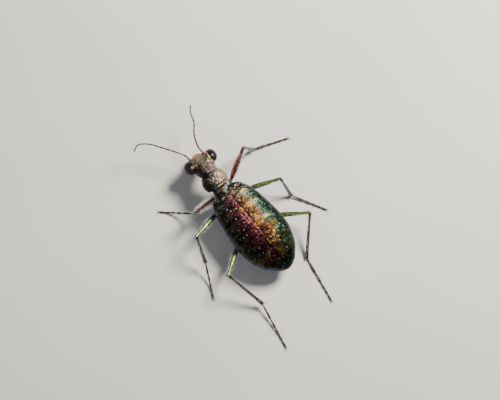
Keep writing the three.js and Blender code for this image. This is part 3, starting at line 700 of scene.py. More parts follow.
def spike(root, tip, radius, bend):
    """A pointed, slightly bent spine."""
    share = np.linspace(0, 1, 9)
    path = bend_between(root, (root + tip) / 2 + np.array(bend), tip, len(share))
    return tube(path, radius * (1 - 0.93 * share**1.3), sides=10)


def plate(xs, back, front, top, bottom, sides, fullness):
    """A plate made of sections across it: back, front, top and bottom are values at each x."""
    angle = full_turn(sides)
    reach, rise = squared(np.cos(angle), fullness), squared(np.sin(angle), fullness)
    return placed(
        xs[:, None],
        ((front + back) / 2)[:, None] + ((front - back) / 2)[:, None] * reach,
        ((top + bottom) / 2)[:, None] + ((top - bottom) / 2)[:, None] * rise,
    )


def globe(stations, sides, pole):
    """Rings of a ball of radius 1 along Y, which start and end an angle away from its poles."""
    turn = np.linspace(pole, math.pi - pole, stations)[:, None]
    angle = full_turn(sides)
    return placed(np.sin(turn) * np.cos(angle), -np.cos(turn), np.sin(turn) * np.sin(angle))


def mask(values, ends=(0.0, 0.0)):
    """Values for the points of a loft: one for each point of its rings and for its two end points."""
    return np.concatenate([np.ravel(values), ends])


# Bristles


def bristles(roots, directions, lengths, width, droop, uvs):
    """Thin tapered bristles with three sides, each with a small patch of the map round its root."""
    directions = unit(directions)
    side = unit(np.cross(directions, UP + 0.31 * directions[:, ::-1]))
    other = np.cross(directions, side)
    angle = full_turn(3)
    points = np.empty((len(roots), BRISTLE_POINTS, 3))
    for k, level in enumerate(BRISTLE_LEVELS):
        centre = roots + directions * (lengths * level)[:, None] + droop * (lengths * level**2)[:, None]
        radius = width / 2 * (1 - 0.72 * level)
        for j, a in enumerate(angle):
            points[:, 3 * k + j] = centre + radius * (math.cos(a) * side + math.sin(a) * other)
    points[:, -1] = roots + directions * lengths[:, None] + droop * lengths[:, None]
    pattern = [(2, 1, 0)]
    for k in (0, 3):
        pattern += [(k + j, k + (j + 1) % 3, k + 3 + (j + 1) % 3, k + 3 + j) for j in range(3)]
    pattern += [(6 + j, 6 + (j + 1) % 3, 9) for j in range(3)]
    faces = [tuple(BRISTLE_POINTS * i + c for c in face) for i in range(len(roots)) for face in pattern]
    spread = np.array([[math.cos(2.1 * j), math.sin(2.1 * j)] for j in range(BRISTLE_POINTS)]) * PATCH_RADIUS
    patch = np.clip(uvs, 0.003, 0.997)[:, None, :] + spread
    return (points.reshape(-1, 3), faces), patch.reshape(-1, 2)


def bristles_round(path, radii, shares, angles, lengths, width, lean, random, tilt):
    """Bristles on a rod: angles count from the level side, 90 degrees is the top."""
    reach = np.interp(shares, np.linspace(0, 1, len(radii)), radii)
    pick = np.clip((np.asarray(shares) * (len(path) - 1)).astype(int), 0, len(path) - 1)
    along, across, up = (ways[pick] for ways in tube_frames(path))
    out = np.cos(angles)[:, None] * across + np.sin(angles)[:, None] * up
    roots = even(path, shares) + out * (reach - ROOT_DEPTH)[:, None]
    directions = unit(out + lean * along + random.normal(0, tilt, roots.shape) * 0.5)
    uvs = np.stack([shares, (angles / (2 * math.pi)) % 1], axis=1)
    return bristles(roots, directions, lengths, width, along * 0.12 - UP * 0.06, uvs)


# Pieces


def add_piece(name, bodies, finish, nodes=(), attributes=None, uv=None):
    """One mesh of closed bodies in the frame's place, riding on the part."""
    faces, start = [], 0
    for points, body_faces in bodies:
        faces += [tuple(start + i for i in face) for face in body_faces]
        start += len(points)
    points = np.concatenate([points for points, _ in bodies]) + BODY_SHIFT
    points[:, 2] = np.maximum(points[:, 2], FLOOR_GAP)
    mesh = bpy.data.meshes.new(name)
    mesh.from_pydata((points * MM).tolist(), [], faces)
    mesh.shade_smooth()
    for label, values in (attributes or {}).items():
        layer = mesh.attributes.new(label, "FLOAT", "POINT")
        layer.data.foreach_set("value", values.astype(np.float32))
    if uv is not None:
        layer = mesh.uv_layers.new(name="OFBake")
        corner = np.empty(len(mesh.loops), np.int32)
        mesh.loops.foreach_get("vertex_index", corner)
        layer.data.foreach_set("uv", uv[corner].astype(np.float32).ravel())
    mesh.materials.append(finish_for(finish))
    piece = bpy.data.objects.new(name, mesh)
    bpy.context.scene.collection.objects.link(piece)
    if piece.name != name:
        raise RuntimeError(f"the name {name} is already taken")
    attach(piece, "root")
    if nodes:
        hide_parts(*nodes)
    return piece


# Finishes


def put(tree, kind, inputs=None, **settings):
    """A shader node with its settings; an input is a value or another node's output."""
    made = tree.nodes.new(kind)
    for key, value in settings.items():
        setattr(made, key, value)
    for key, value in (inputs or {}).items():
        socket = made.inputs[key]
        if isinstance(value, bpy.types.NodeSocket):
            tree.links.new(value, socket)
        else:
            socket.default_value = value
    return made


def finish_of(name, metallic=0.0, roughness=0.5, coat=0.0, specular=0.5, sheen=0.0):
    """A new material with an even shader; returns it with its tree, shader and place in millimetres."""
    material = bpy.data.materials.new(f"{name}_finish")
    material.use_nodes = True
    tree = material.node_tree
    shader = tree.nodes["Principled BSDF"]
    shader.inputs["Metallic"].default_value = metallic
    shader.inputs["Roughness"].default_value = roughness
    shader.inputs["Coat Weight"].default_value = coat
    shader.inputs["Coat Roughness"].default_value = COAT_ROUGHNESS
    shader.inputs["Specular IOR Level"].default_value = specular
    shader.inputs["Sheen Weight"].default_value = sheen
    where = put(tree, "ShaderNodeTexCoord").outputs["Object"]
    place = put(tree, "ShaderNodeVectorMath", {0: where, "Scale": 1 / MM}, operation="SCALE").outputs[0]
    return material, tree, shader, place


def grain(tree, place, scale, detail=2.0, distortion=0.0):
    return put(
        tree, "ShaderNodeTexNoise",
        {"Vector": place, "Scale": scale, "Detail": detail, "Distortion": distortion},
    ).outputs["Fac"]


def attribute(tree, name):
    return put(tree, "ShaderNodeAttribute", attribute_name=name).outputs["Fac"]


def sum_of(tree, first, second, operation="ADD"):
    return put(tree, "ShaderNodeMath", {0: first, 1: second}, operation=operation).outputs[0]


def product_of(tree, first, second):
    return sum_of(tree, first, second, "MULTIPLY")


def stretched(tree, place, scale):
    return put(tree, "ShaderNodeVectorMath", {0: place, 1: scale}, operation="MULTIPLY").outputs[0]


def grey(tree, value):
    return put(tree, "ShaderNodeCombineColor", {0: value, 1: value, 2: value}).outputs[0]


def ranged(tree, value, low, high, to_low=0.0, to_high=1.0):
    return put(
        tree, "ShaderNodeMapRange",
        {"Value": value, "From Min": low, "From Max": high, "To Min": to_low, "To Max": to_high},
        interpolation_type="SMOOTHSTEP",
    ).outputs["Result"]


def ramp(tree, value, stops):
    """Colours at places from 0 to 1."""
    made = put(tree, "ShaderNodeValToRGB", {"Fac": value})
    elements = made.color_ramp.elements
    while len(elements) > 1:
        elements.remove(elements[-1])
    for i, (place, colour) in enumerate(stops):
        element = elements[0] if i == 0 else elements.new(place)
        element.position = place
        element.color = (*colour, 1.0)
    return made.outputs["Color"]


def mixed(tree, share, first, second, blend_type="MIX"):
    made = put(tree, "ShaderNodeMix", data_type="RGBA", blend_type=blend_type)
    for index, value in ((0, share), (6, first), (7, second)):
        socket = made.inputs[index]
        if isinstance(value, bpy.types.NodeSocket):
            tree.links.new(value, socket)
        else:
            socket.default_value = value if index == 0 else (*tuple(value)[:3], 1.0)
    return made.outputs[2]


def bumped(tree, shader, height, distance):
    made = put(tree, "ShaderNodeBump", {"Height": height, "Distance": distance * MM})
    tree.links.new(made.outputs["Normal"], shader.inputs["Normal"])


def pricked(tree, shader, place, prick, fine, share, depth):
    """Small cells with a finer grain over them, as relief."""
    height = sum_of(tree, cells(tree, place, prick), product_of(tree, grain(tree, place, fine), share))
    bumped(tree, shader, height, depth)


def uneven_shine(tree, shader, place, scale, low, high, detail=3.0):
    """Roughness that drifts between two values."""
    drift = ranged(tree, grain(tree, place, scale, detail), *GRAIN_SPAN, low, high)
    tree.links.new(drift, shader.inputs["Roughness"])


def cells(tree, place, scale):
    return put(tree, "ShaderNodeTexVoronoi", {"Vector": place, "Scale": scale}).outputs["Distance"]


def shade(colour, factor):
    return tuple(min(1.0, c * factor) for c in colour)


def disc_light_and_shade_stops(colours):
    """Colours across the front and middle of the wing cases, from the left edge to the right one: painted
    shade in dark olive and wine on the left, magenta by the seam, and a painted copper and gold highlight on
    the right.
    """
    return [
        (0.0, (0.012, 0.016, 0.014)), (0.12, (0.02, 0.036, 0.02)), (0.22, colours.olive),
        (0.33, colours.wine), (0.4, shade(colours.magenta, 0.55)), (0.46, colours.magenta),
        (0.5, shade(colours.magenta, 0.8)), (0.53, colours.copper), (0.58, colours.gold),
        (0.64, shade(colours.gold, 0.85)), (0.69, (0.13, 0.1, 0.035)), (0.76, colours.green),
        (0.86, shade(colours.green, 0.35)), (1.0, (0.01, 0.013, 0.012)),
    ]


def rear_stops(colours):
    """Colours across the rear of the wing cases, from the left edge to the right one."""
    return [
        (0.0, (0.012, 0.014, 0.01)), (0.2, colours.olive), (0.32, (0.13, 0.07, 0.025)),
        (0.4, (0.24, 0.07, 0.04)), (0.47, shade(colours.magenta, 0.8)), (0.52, (0.17, 0.035, 0.025)),
        (0.6, (0.26, 0.1, 0.035)), (0.7, (0.1, 0.075, 0.025)), (0.84, (0.025, 0.045, 0.022)),
        (1.0, (0.012, 0.014, 0.012)),
    ]


def wing_dapple(tree, place, folded):
    """Brightness of flecks, fine grit and broad clouds."""
    fleck = ranged(tree, grain(tree, folded, 2.4, 4.0, 0.8), 0.36, 0.64, 0.35, 1.0)
    grit = ranged(tree, cells(tree, place, 8.0), *CELL_SPAN, 0.65, 1.1)
    slanted = stretched(tree, place, (0.7, 1.5, 1.0))
    cloud = ranged(tree, grain(tree, slanted, 0.95, 2.0, 1.0), 0.42, 0.56, 0.3, 1.1)
    return product_of(tree, product_of(tree, fleck, grit), cloud)


def wing_case_finish(name):
    """Iridescent shell: a painted gold highlight on the right flank and painted shade in wine and olive on
    the left, magenta at the seam, green pits, and a seam line that turns to painted shadow towards the rear.
    """
    colours = bpy.context.scene.beetle_colours
    material, tree, shader, place = finish_of(name, metallic=0.94, roughness=0.3, coat=0.04)
    along, flank = attribute(tree, "along"), attribute(tree, "flank")
    folded = stretched(tree, place, (1.0, 1.8, 1.0))
    wander = ranged(tree, grain(tree, place, 0.8, 3.0), *GRAIN_SPAN, -0.05, 0.05)
    patch = ranged(tree, grain(tree, folded, 1.7, 4.0, 0.6), 0.34, 0.66, -0.08, 0.08)
    band = sum_of(tree, sum_of(tree, flank, wander), patch)
    # Across the wing cases: painted shade on the left flank, a painted gold highlight on the right
    disc, rear = ramp(tree, band, disc_light_and_shade_stops(colours)), ramp(tree, band, rear_stops(colours))
    behind = ranged(tree, sum_of(tree, along, product_of(tree, wander, 1.2)), *REAR_PLACE)
    colour = mixed(tree, behind, disc, rear)
    colour = mixed(tree, ranged(tree, along, *APEX_PLACE), colour, shade(colours.green, 0.22))
    sparkle = ramp(tree, grain(tree, place, 3.0, 3.0, 0.8), SHOULDER_STOPS)
    colour = mixed(tree, product_of(tree, ranged(tree, along, *SHOULDER_PLACE), 0.75), colour, sparkle)
    colour = mixed(tree, 1.0, colour, grey(tree, wing_dapple(tree, place, folded)), "MULTIPLY")
    tint = mixed(tree, grain(tree, place, 0.8), colours.pit, (0.1, 0.3, 0.34))
    colour = mixed(tree, product_of(tree, attribute(tree, "pit"), 0.65), colour, tint)
    # Seam line: pale magenta in front, near-black painted shadow in the seam groove towards the rear
    seam = mixed(tree, ranged(tree, along, *SEAM_SHADOW_PLACE), shade(colours.magenta, 1.8), (0.006, 0.005, 0.005))
    line = product_of(tree, attribute(tree, "seam"), ranged(tree, along, *SEAM_START, 0.15, 1.0))
    colour = mixed(tree, line, colour, seam)
    rim = mixed(tree, ranged(tree, flank, *RIM_SIDES), colours.rim, (0.2, 0.24, 0.34))
    colour = mixed(tree, attribute(tree, "rim"), colour, rim)
    tree.links.new(colour, shader.inputs["Base Color"])
    uneven_shine(tree, shader, place, scale=5.0, low=0.2, high=0.36)
    pricked(tree, shader, place, prick=11.0, fine=24.0, share=0.5, depth=0.02)
    return material


def head_finish(name):
    """Pinkish copper with green and dark tints, finely wrinkled; painted shade over the left side, a painted
    pink and green highlight on the right, and yellow ridges beside the eyes painted as highlights.
    """
    colours = bpy.context.scene.beetle_colours
    material, tree, shader, place = finish_of(name, metallic=0.9, roughness=0.36, coat=0.06)
    tint = ramp(tree, grain(tree, place, 1.8, 4.0, 0.6), [
        (0.28, (0.025, 0.018, 0.016)), (0.38, shade(colours.rose, 0.35)), (0.47, colours.rose),
        (0.54, shade(colours.rose, 1.25)), (0.6, (0.2, 0.26, 0.16)), (0.66, (0.07, 0.05, 0.04)),
        (0.76, (0.42, 0.14, 0.14)),
    ])
    bright = ramp(tree, grain(tree, place, 2.8, 2.0, 0.5), GROOVE_STOPS)
    colour = mixed(tree, product_of(tree, attribute(tree, "groove"), 0.85), tint, bright)
    wander = ranged(tree, grain(tree, place, 1.6), *GRAIN_SPAN, -0.12, 0.12)
    flank = sum_of(tree, attribute(tree, "flank"), wander)
    # Painted shade: the left side of head, prothorax and scutellum darkened
    colour = mixed(tree, ranged(tree, flank, *HEAD_SHADED), (0.014, 0.011, 0.01), colour)
    # Yellow on the brow ridges: a painted highlight
    crest = ranged(tree, grain(tree, place, 2.8, 3.0), 0.46, 0.6, 0.05, 0.9)
    colour = mixed(tree, product_of(tree, attribute(tree, "ridge"), crest), colour, colours.ridge)
    # Painted highlight in pink and green on the right side
    green_or_pink = ranged(tree, grain(tree, place, 3.0, 3.0), 0.42, 0.56)
    painted_highlight = mixed(tree, green_or_pink, (0.2, 0.34, 0.13), (0.62, 0.2, 0.18))
    colour = mixed(tree, ranged(tree, flank, *HEAD_PAINTED_HIGHLIGHT, 0.0, 0.85), colour, painted_highlight)
    grit = ranged(tree, cells(tree, place, 9.0), *CELL_SPAN, 0.55, 1.15)
    colour = mixed(tree, 1.0, colour, grey(tree, grit), "MULTIPLY")
    tree.links.new(colour, shader.inputs["Base Color"])
    uneven_shine(tree, shader, place, scale=6.0, low=0.28, high=0.46)
    pricked(tree, shader, place, prick=13.0, fine=26.0, share=0.6, depth=0.018)
    return material


def metal_finish(name, stops, metallic, roughness, scale, painted_top_light=0.0):
    """A horny shell: colours by place and, as painted light, by how far the surface looks up, a painted
    highlight on top and painted shade below; finely pricked.
    """
    material, tree, shader, place = finish_of(name, metallic, roughness, coat=0.08)
    drift = product_of(tree, grain(tree, place, scale, 3.0, 0.5), 1 - 0.7 * painted_top_light)
    # Painted light: the side that looks up lighter, the lower side dark
    height = product_of(tree, attribute(tree, "upper"), 0.4 * painted_top_light)
    share = sum_of(tree, sum_of(tree, drift, height), 0.35 * painted_top_light)
    tree.links.new(ramp(tree, share, stops), shader.inputs["Base Color"])
    uneven_shine(tree, shader, place, scale=7.0, low=roughness - 0.08, high=roughness + 0.12)
    pricked(tree, shader, place, prick=15.0, fine=30.0, share=0.5, depth=0.012)
    return material


def eye_finish(name):
    """Dark glossy eye with small facets and a brown tint."""
    colours = bpy.context.scene.beetle_colours
    material, tree, shader, place = finish_of(name, roughness=0.2, coat=0.08, specular=0.22)
    colour = ramp(tree, grain(tree, place, 1.6), [
        (0.35, colours.eye), (0.6, shade(colours.eye, 2.2)), (0.75, (0.08, 0.03, 0.015)),
    ])
    tree.links.new(colour, shader.inputs["Base Color"])
    bumped(tree, shader, cells(tree, place, EYE_FACETS), distance=0.008)
    return material


def plain_finish(name, colour, dark, roughness, metallic=0.0, scale=3.0, sheen=0.0, coat=0.0):
    """A dull horny surface that drifts between two tones."""
    material, tree, shader, place = finish_of(name, metallic, roughness, coat, HORN_SPECULAR, sheen)
    share = ranged(tree, grain(tree, place, scale, 3.0), 0.32, 0.68)
    tree.links.new(mixed(tree, share, dark, colour), shader.inputs["Base Color"])
    uneven_shine(tree, shader, place, scale=9.0, low=roughness - 0.08, high=roughness + 0.1, detail=2.0)
    bumped(tree, shader, grain(tree, place, 22.0, detail=3.0), distance=0.008)
    return material


def lip_finish(name):
    tan = bpy.context.scene.beetle_colours.tan
    return plain_finish(name, tan, shade(tan, 0.55), roughness=0.4, scale=2.0, coat=0.3)


def jaw_finish(name):
    return plain_finish(name, (0.1, 0.05, 0.025), (0.03, 0.02, 0.015), roughness=0.34, metallic=0.3)


def feeler_copper_finish(name):
    return metal_finish(name, FEELER_STOPS, metallic=0.8, roughness=0.34, scale=2.2)


def feeler_dark_finish(name):
    brown, dark = (0.035, 0.024, 0.017), (0.014, 0.01, 0.008)
    return plain_finish(name, brown, dark, roughness=0.55, scale=4.0, sheen=0.08)


def underside_finish(name):
    return metal_finish(name, UNDERSIDE_STOPS, metallic=0.8, roughness=0.36, scale=0.9)


def red_thigh_finish(name):
    return metal_finish(name, RED_THIGH_STOPS, metallic=0.88, roughness=0.32, scale=1.6, painted_top_light=1.0)


def green_thigh_finish(name):
    return metal_finish(name, GREEN_THIGH_STOPS, metallic=0.88, roughness=0.3, scale=1.6, painted_top_light=1.0)


def leg_finish(name):
    leg = bpy.context.scene.beetle_colours.leg
    light, dark = shade(leg, 1.8), shade(leg, 0.6)
    return plain_finish(name, light, dark, roughness=0.42, metallic=0.1, scale=2.4, coat=0.05)


def bristle_finish(name):
    pale = bpy.context.scene.beetle_colours.bristle
    return plain_finish(name, pale, shade(pale, 0.75), roughness=0.45, sheen=0.2)


FINISHES = {
    "wing_case_shell": wing_case_finish,
    "head_shell": head_finish,
    "eye": eye_finish,
    "lip": lip_finish,
    "jaw": jaw_finish,
    "feeler_copper": feeler_copper_finish,
    "feeler_dark": feeler_dark_finish,
    "underside_shell": underside_finish,
    "thigh_red_copper": red_thigh_finish,
    "thigh_green_copper": green_thigh_finish,
    "leg_dark": leg_finish,
    "bristle": bristle_finish,
}


def finish_for(name):
    """The named finish, made the first time that it is asked for."""
    return bpy.data.materials.get(f"{name}_finish") or FINISHES[name](name)


# Wing cases


def margin_at(y):
    return WING_MARGIN_FRONT + WING_MARGIN_DROP * y / WING_LENGTH


def wing_rings(side):
    """The smooth surface of a wing case: rings along it, and share along and across for each point."""
    tip_turn = np.linspace(0, math.pi / 2, WING_TIP_STEPS)[1:]
    shares = np.concatenate([
        np.linspace(0, 1 - WING_TIP_SHARE, WING_STATIONS),
        1 - WING_TIP_SHARE * (1 - np.sin(tip_turn)),
    ])
    front = np.linspace(0, math.pi / 2, WING_FRONT_STEPS)[:-1]
    tip = np.sqrt(np.clip((1 - shares) / WING_TIP_SHARE, WING_TIP_LEAST, 1))
    share = np.concatenate([np.zeros(len(front)), shares])
    scale = np.concatenate([eased(np.sin(front), WING_FRONT_LEAST), tip])
    y = np.concatenate([WING_FRONT_ROUND * np.cos(front), -WING_LENGTH * shares])
    half = smooth_along(WING_HALF_WIDTH, share) * scale
    rise = smooth_along(WING_ARCH, share) * scale
    notch = np.clip((y - SHIELD_BACK) / (SHIELD_SHOULDER - SHIELD_BACK), 0, NOTCH_REACH)
    inner = np.minimum(WING_SEAM + SHIELD_NECK * NOTCH_ROOM * notch, half * WING_INNER_LIMIT)
    start = np.arccos(np.clip((inner / half) ** (WING_FULLNESS / 2), 0, 1))
    turn = np.concatenate([np.linspace(1, 0, WING_TOP_STEPS), np.linspace(0, -1, WING_UNDER_STEPS)[1:]])
    angle = start[:, None] * turn
    height = np.where(angle > 0, rise[:, None], WING_LIP * np.sqrt(scale)[:, None])
    rings = placed(
        side * half[:, None] * squared(np.cos(angle), WING_FULLNESS),
        y[:, None],
        margin_at(y)[:, None] + height * squared(np.sin(angle), WING_FULLNESS),
    )
    steps = np.linalg.norm(np.diff(rings, axis=1), axis=2)
    walked = np.concatenate([np.zeros((len(y), 1)), np.cumsum(steps, axis=1)], axis=1)
    across = walked / walked[:, [WING_TOP_STEPS - 1]]
    return rings, np.broadcast_to(share[:, None], angle.shape), across, np.broadcast_to(turn < 0, angle.shape)


def pit_places(rings, across, random):
    """Where the pits lie, in uneven rows along the wing case, and how large each one is."""
    places = []
    for row in PIT_ROWS:
        walk = random.uniform(*PIT_START)
        while walk < PIT_END:
            i = min(len(rings) - 1, int(WING_FRONT_STEPS - 1 + walk * WING_STATIONS))
            target = np.clip(row + random.normal(0, PIT_WANDER), 0.05, 0.96)
            j = int(np.argmin(np.abs(across[i, :WING_TOP_STEPS] - target)))
            places.append((*rings[i, j], random.uniform(*PIT_SIZES)))
            walk += (PIT_SPACING + random.normal(0, PIT_JITTER)) / WING_LENGTH
    return np.array(places)


def wing_relief(rings, along, side, gap, random, sizes):
    """Height of the pits, dots and folds of a wing case; gap counts from each pit in its radii."""
    picks = random.integers(0, len(rings), DOT_COUNT), random.integers(0, WING_TOP_STEPS, DOT_COUNT)
    dots = rings[picks] + random.normal(0, DOT_SCATTER, (DOT_COUNT, 3))
    wrinkle = sizes.wrinkle / MM
    folds = 1 - 2 * np.abs(noise(rings * np.array(WING_FOLD_STRETCH), 1.0, SEED + 5 * (side + 2)))
    height = -sizes.pit_depth / MM * (1 - blend(0.0, 1.1, gap))
    height += ridges(nearest(rings, dots)[0], DOT_RELIEF)
    height += wrinkle * WING_FOLD * (1 - blend(*WING_SHOULDER, along)) * folds
    return height + rough(rings * np.array(WING_WAVE_STRETCH), WING_WAVES) + rough(rings, WING_GRAIN)


def wing_case(side, sizes, random):
    """Body and masks of one wing case, with pits, dots, wrinkles and a beaded edge."""
    rings, along, beyond, under = wing_rings(side)
    across = np.clip(beyond, 0, 1)
    width = np.max(smooth_along(WING_HALF_WIDTH, np.linspace(0, 0.99, 50)))
    pits = pit_places(rings, across, random)
    gap, which = nearest(rings, pits[:, :3])
    size = pits[which, 3]
    gap = gap / (sizes.pit_width / MM / 2 * size)
    pit = (1 - blend(0.3, 1.05, gap)) * eased(blend(0.7, 1.1, size), 0.25)
    height = wing_relief(rings, along, side, gap, random, sizes)
    from_seam, from_rim = across * width, np.abs(1 - beyond) * width
    height += ridges(from_seam, WING_SEAM_RELIEF) + ridges(from_rim, WING_RIM_RELIEF)
    above = np.where(under, 0, 1)
    rings = raised(rings, height * np.minimum(blend(0, 0.02, 1 - along), above))
    rings[..., 0] = side * np.maximum(side * rings[..., 0], WING_SEAM * 0.5)
    rings = rings @ turn_about("z", WING_TURN).T
    # The seam line widens towards the rear, where it is painted shadow
    seam_width = SEAM_TINT_WIDTH + SEAM_SHADOW_SPREAD * blend(0.4, 0.7, along)
    masks = {
        "along": mask(along, (0.0, 1.0)),
        # flank runs from 0 at the left edge to 1 at the right; the finish paints shade and highlight by it
        "flank": mask(0.5 + side * across / 2, (0.5, 0.5)),
        "pit": mask(pit * above),
        "seam": mask(hill(from_seam, seam_width)),
        "rim": mask(hill(from_rim, RIM_TINT_WIDTH)),
    }
    return loft(rings), masks


class BEETLE_OT_wing_cases(Operator):
    """Build the two wing cases"""

    bl_idname = "beetle.wing_cases"
    bl_label = "Wing cases"

    def execute(self, context):
        random = np.random.default_rng(SEED)
        for name, side in SIDES.items():
            body, masks = wing_case(side, context.scene.beetle_sizes, random)
            add_piece(f"wing_case_{name}", [body], "wing_case_shell", [f"elytron_{name}"], masks)
        return {"FINISHED"}


# Prothorax and scutellum


def prothorax_shell(sizes):
    """Body and masks of the prothorax, rippled across, with two cross grooves and a middle line."""
    y = dense_ends(PRO_BACK, PRO_FRONT, PRO_STEPS)
    angle = full_turn(PRO_STEPS)
    scale = rounded_ends(y, PRO_BACK, PRO_FRONT, PRO_EDGE)
    share = eased(scale, PRO_EDGE_SHARE)
    half, rise = (smooth_along(table, y) - PRO_EDGE_STEP * (1 - scale) for table in (PRO_SIDE, PRO_RISE))
    rings = placed(
        PRO_X + (half * share)[:, None] * squared(np.cos(angle), PRO_FULLNESS),
        y[:, None],
        PRO_Z + (rise * share)[:, None] * squared(np.sin(angle), PRO_FULLNESS),
    )
    wrinkle = sizes.wrinkle / MM
    (disc_start, disc_full), (disc_fade, disc_end) = PRO_DISC
    disc = (blend(disc_start, disc_full, y) * (1 - blend(disc_fade, disc_end, y)))[:, None]
    top = blend(0.1, 0.5, np.sin(angle))[None, :]
    ripple = 2 * math.pi * y[:, None] / PRO_RIPPLE_LENGTH + rough(rings, PRO_RIPPLE_DRIFT)
    height = wrinkle * 0.4 * np.sin(ripple) * disc
    height += rough(rings, [(wrinkle * 0.9, 5.0, 13), (wrinkle * 0.5, 11.0, 15), (0.03, 1.3, 14)])
    height += ridges(rings[..., 0] - PRO_X, PRO_MIDDLE_LINE) * top * disc
    height += ridges(y, PRO_GROOVES)[:, None]
    groove = np.clip(ridges(rings[..., 1], PRO_GROOVE_TINT), 0, 1)
    # flank runs from 0 at the left edge to 1 at the right; the finish paints shade and highlight by it
    flank = 0.5 + (rings[..., 0] - PRO_X) / (2 * np.max(half))
    body = loft(raised(rings, height * scale[:, None]))
    return body, {"groove": mask(groove), "flank": mask(flank, (0.5, 0.5))}


def scutellum_shield():
    """Body and masks of the scutellum, pointed to the rear."""
    xs = dense_ends(-SHIELD_HALF_WIDTH, SHIELD_HALF_WIDTH, SHIELD_STEPS)
    slope = (SHIELD_SHOULDER - SHIELD_BACK) / SHIELD_NECK
    back = np.minimum(SHIELD_BACK + slope * np.abs(xs), SHIELD_SHOULDER)
    front = np.full(len(xs), SHIELD_FRONT)
    scale = rounded_ends(xs, -SHIELD_HALF_WIDTH, SHIELD_HALF_WIDTH, SHIELD_EDGE)
    middle = (SHIELD_TOP + SHIELD_BOTTOM) / 2
    half = (SHIELD_TOP - SHIELD_BOTTOM) / 2 * eased(scale, 0.3)
    rings = plate(xs, back, front, middle + half, middle - half, sides=40, fullness=SHIELD_FULLNESS)
    points, faces = loft(raised(rings, rough(rings, SHIELD_GRAIN)))
    # The scutellum's flank is set low, so it takes the painted shade
    return (points, faces), {"groove": np.full(len(points), 0.55), "flank": 0.4 + points[:, 0] / 4}


class BEETLE_OT_prothorax(Operator):
    """Build the prothorax and the scutellum"""

    bl_idname = "beetle.prothorax"
    bl_label = "Prothorax"

    def execute(self, context):
        body, masks = prothorax_shell(context.scene.beetle_sizes)
        add_piece("prothorax_shell", [body], "head_shell", ["prothorax"], masks)
        body, masks = scutellum_shield()
        add_piece("scutellum_shield", [body], "head_shell", ["scutellum"], masks)
        return {"FINISHED"}


# Head, eyes and mouth


HEAD_MATRIX = turn_about("z", -HEAD_YAW) @ turn_about("y", HEAD_ROLL) @ turn_about("x", -HEAD_PITCH)


def in_body(body):
    """A body moved from the head's own frame to the head's place."""
    points, faces = body
    return points @ HEAD_MATRIX.T + NECK, faces


def orbit_rings(side):
    """The raised rim round the base of an eye."""
    narrow = math.sqrt(1 - ((ORBIT_X - EYE_CENTRE[0]) / EYE_RADII[0]) ** 2)
    turn = np.linspace(0, 2 * math.pi, 80)
    round_eye = placed(0.0, np.cos(turn), np.sin(turn))
    path = EYE_CENTRE * (0, 1, 1) + EYE_RADII * narrow * round_eye + np.array([side * ORBIT_X, 0, 0])
    angle = full_turn(20)[None, :, None]
    wide = ORBIT_GIRTH * 1.5 * np.cos(angle) * np.array([side, 0, 0])
    return path[:, None, :] + wide + ORBIT_GIRTH * np.sin(angle) * round_eye[:, None, :]


def head_rings(y, scale):
    """The smooth surface of the head, and how far each column of its points looks up."""
    angle = full_turn(HEAD_SIDES)
    share = eased(scale, HEAD_EDGE_SHARE)
    half, top, bottom = (
        (smooth_along(table, y) * share)[:, None] for table in (HEAD_HALF_WIDTH, HEAD_TOP, HEAD_BOTTOM)
    )
    up = np.sin(angle)[None, :]
    rise = np.where(up > 0, top, bottom) * squared(up, HEAD_FULLNESS)
    return placed(half * squared(np.cos(angle), HEAD_FULLNESS), y[:, None], rise), up


def head_relief(rings, side, above, wrinkle):
    """Height of one side: streaks inside the brow, eye rim, temple and feeler socket; and the brow ridge."""
    path = curve_through([(side * x, y, z) for x, y, z in BROW], 60)
    gap = distance_to_path(rings, path)
    inside = blend(0.05, 0.2, path[:, 0].mean() * side - side * rings[..., 0])
    streaks = np.sin(2 * math.pi * gap / HEAD_STREAK_LENGTH) * inside * hill(gap, 0.5) * above
    eye = np.linalg.norm((rings - EYE_CENTRE * (side, 1, 1)) / EYE_RADII, axis=-1)
    temple = np.linalg.norm(rings - TEMPLE * (side, 1, 1), axis=-1)
    socket = np.linalg.norm(rings - FEELER_SOCKET * (side, 1, 1), axis=-1)
    height = wrinkle * 0.55 * streaks + ridges(eye, EYE_RIM_RELIEF)
    return height + ridges(temple, TEMPLE_RELIEF) + ridges(socket, SOCKET_RELIEF), hill(gap, BROW_WIDTH)


def head_capsule(sizes):
    """Body and masks of the head without its crests and rims."""
    y = dense_ends(HEAD_BACK, HEAD_FRONT, HEAD_STEPS)
    scale = rounded_ends(y, HEAD_BACK, HEAD_FRONT, HEAD_EDGE)
    rings, up = head_rings(y, scale)
    wrinkle = sizes.wrinkle / MM
    above = blend(0.15, 0.55, up)
    reliefs, brows = zip(*(head_relief(rings, side, above, wrinkle) for side in SIDES.values()))
    ridge = np.maximum(*brows)
    height = sum(reliefs) + BROW_RISE * ridge
    height += ridges(rings[..., 1], CLYPEUS_GROOVE) * above
    height += ridges(rings[..., 0], CROWN_HOLLOW) * above * (1 - blend(*CROWN_END, rings[..., 1]))
    height += rough(rings, [(wrinkle, 7.0, 31), (wrinkle * 0.8, 3.2, 32)])
    points, faces = loft(raised(rings, height * scale[:, None]))
    # flank: low on the left, high on the right and towards the front; the finish paints shade and highlight
    # by it
    flank = 0.52 + points[:, 0] / 3.2 + 0.1 * (points[:, 1] - 1.2)
    return (points, faces), {"ridge": mask(ridge), "flank": flank}


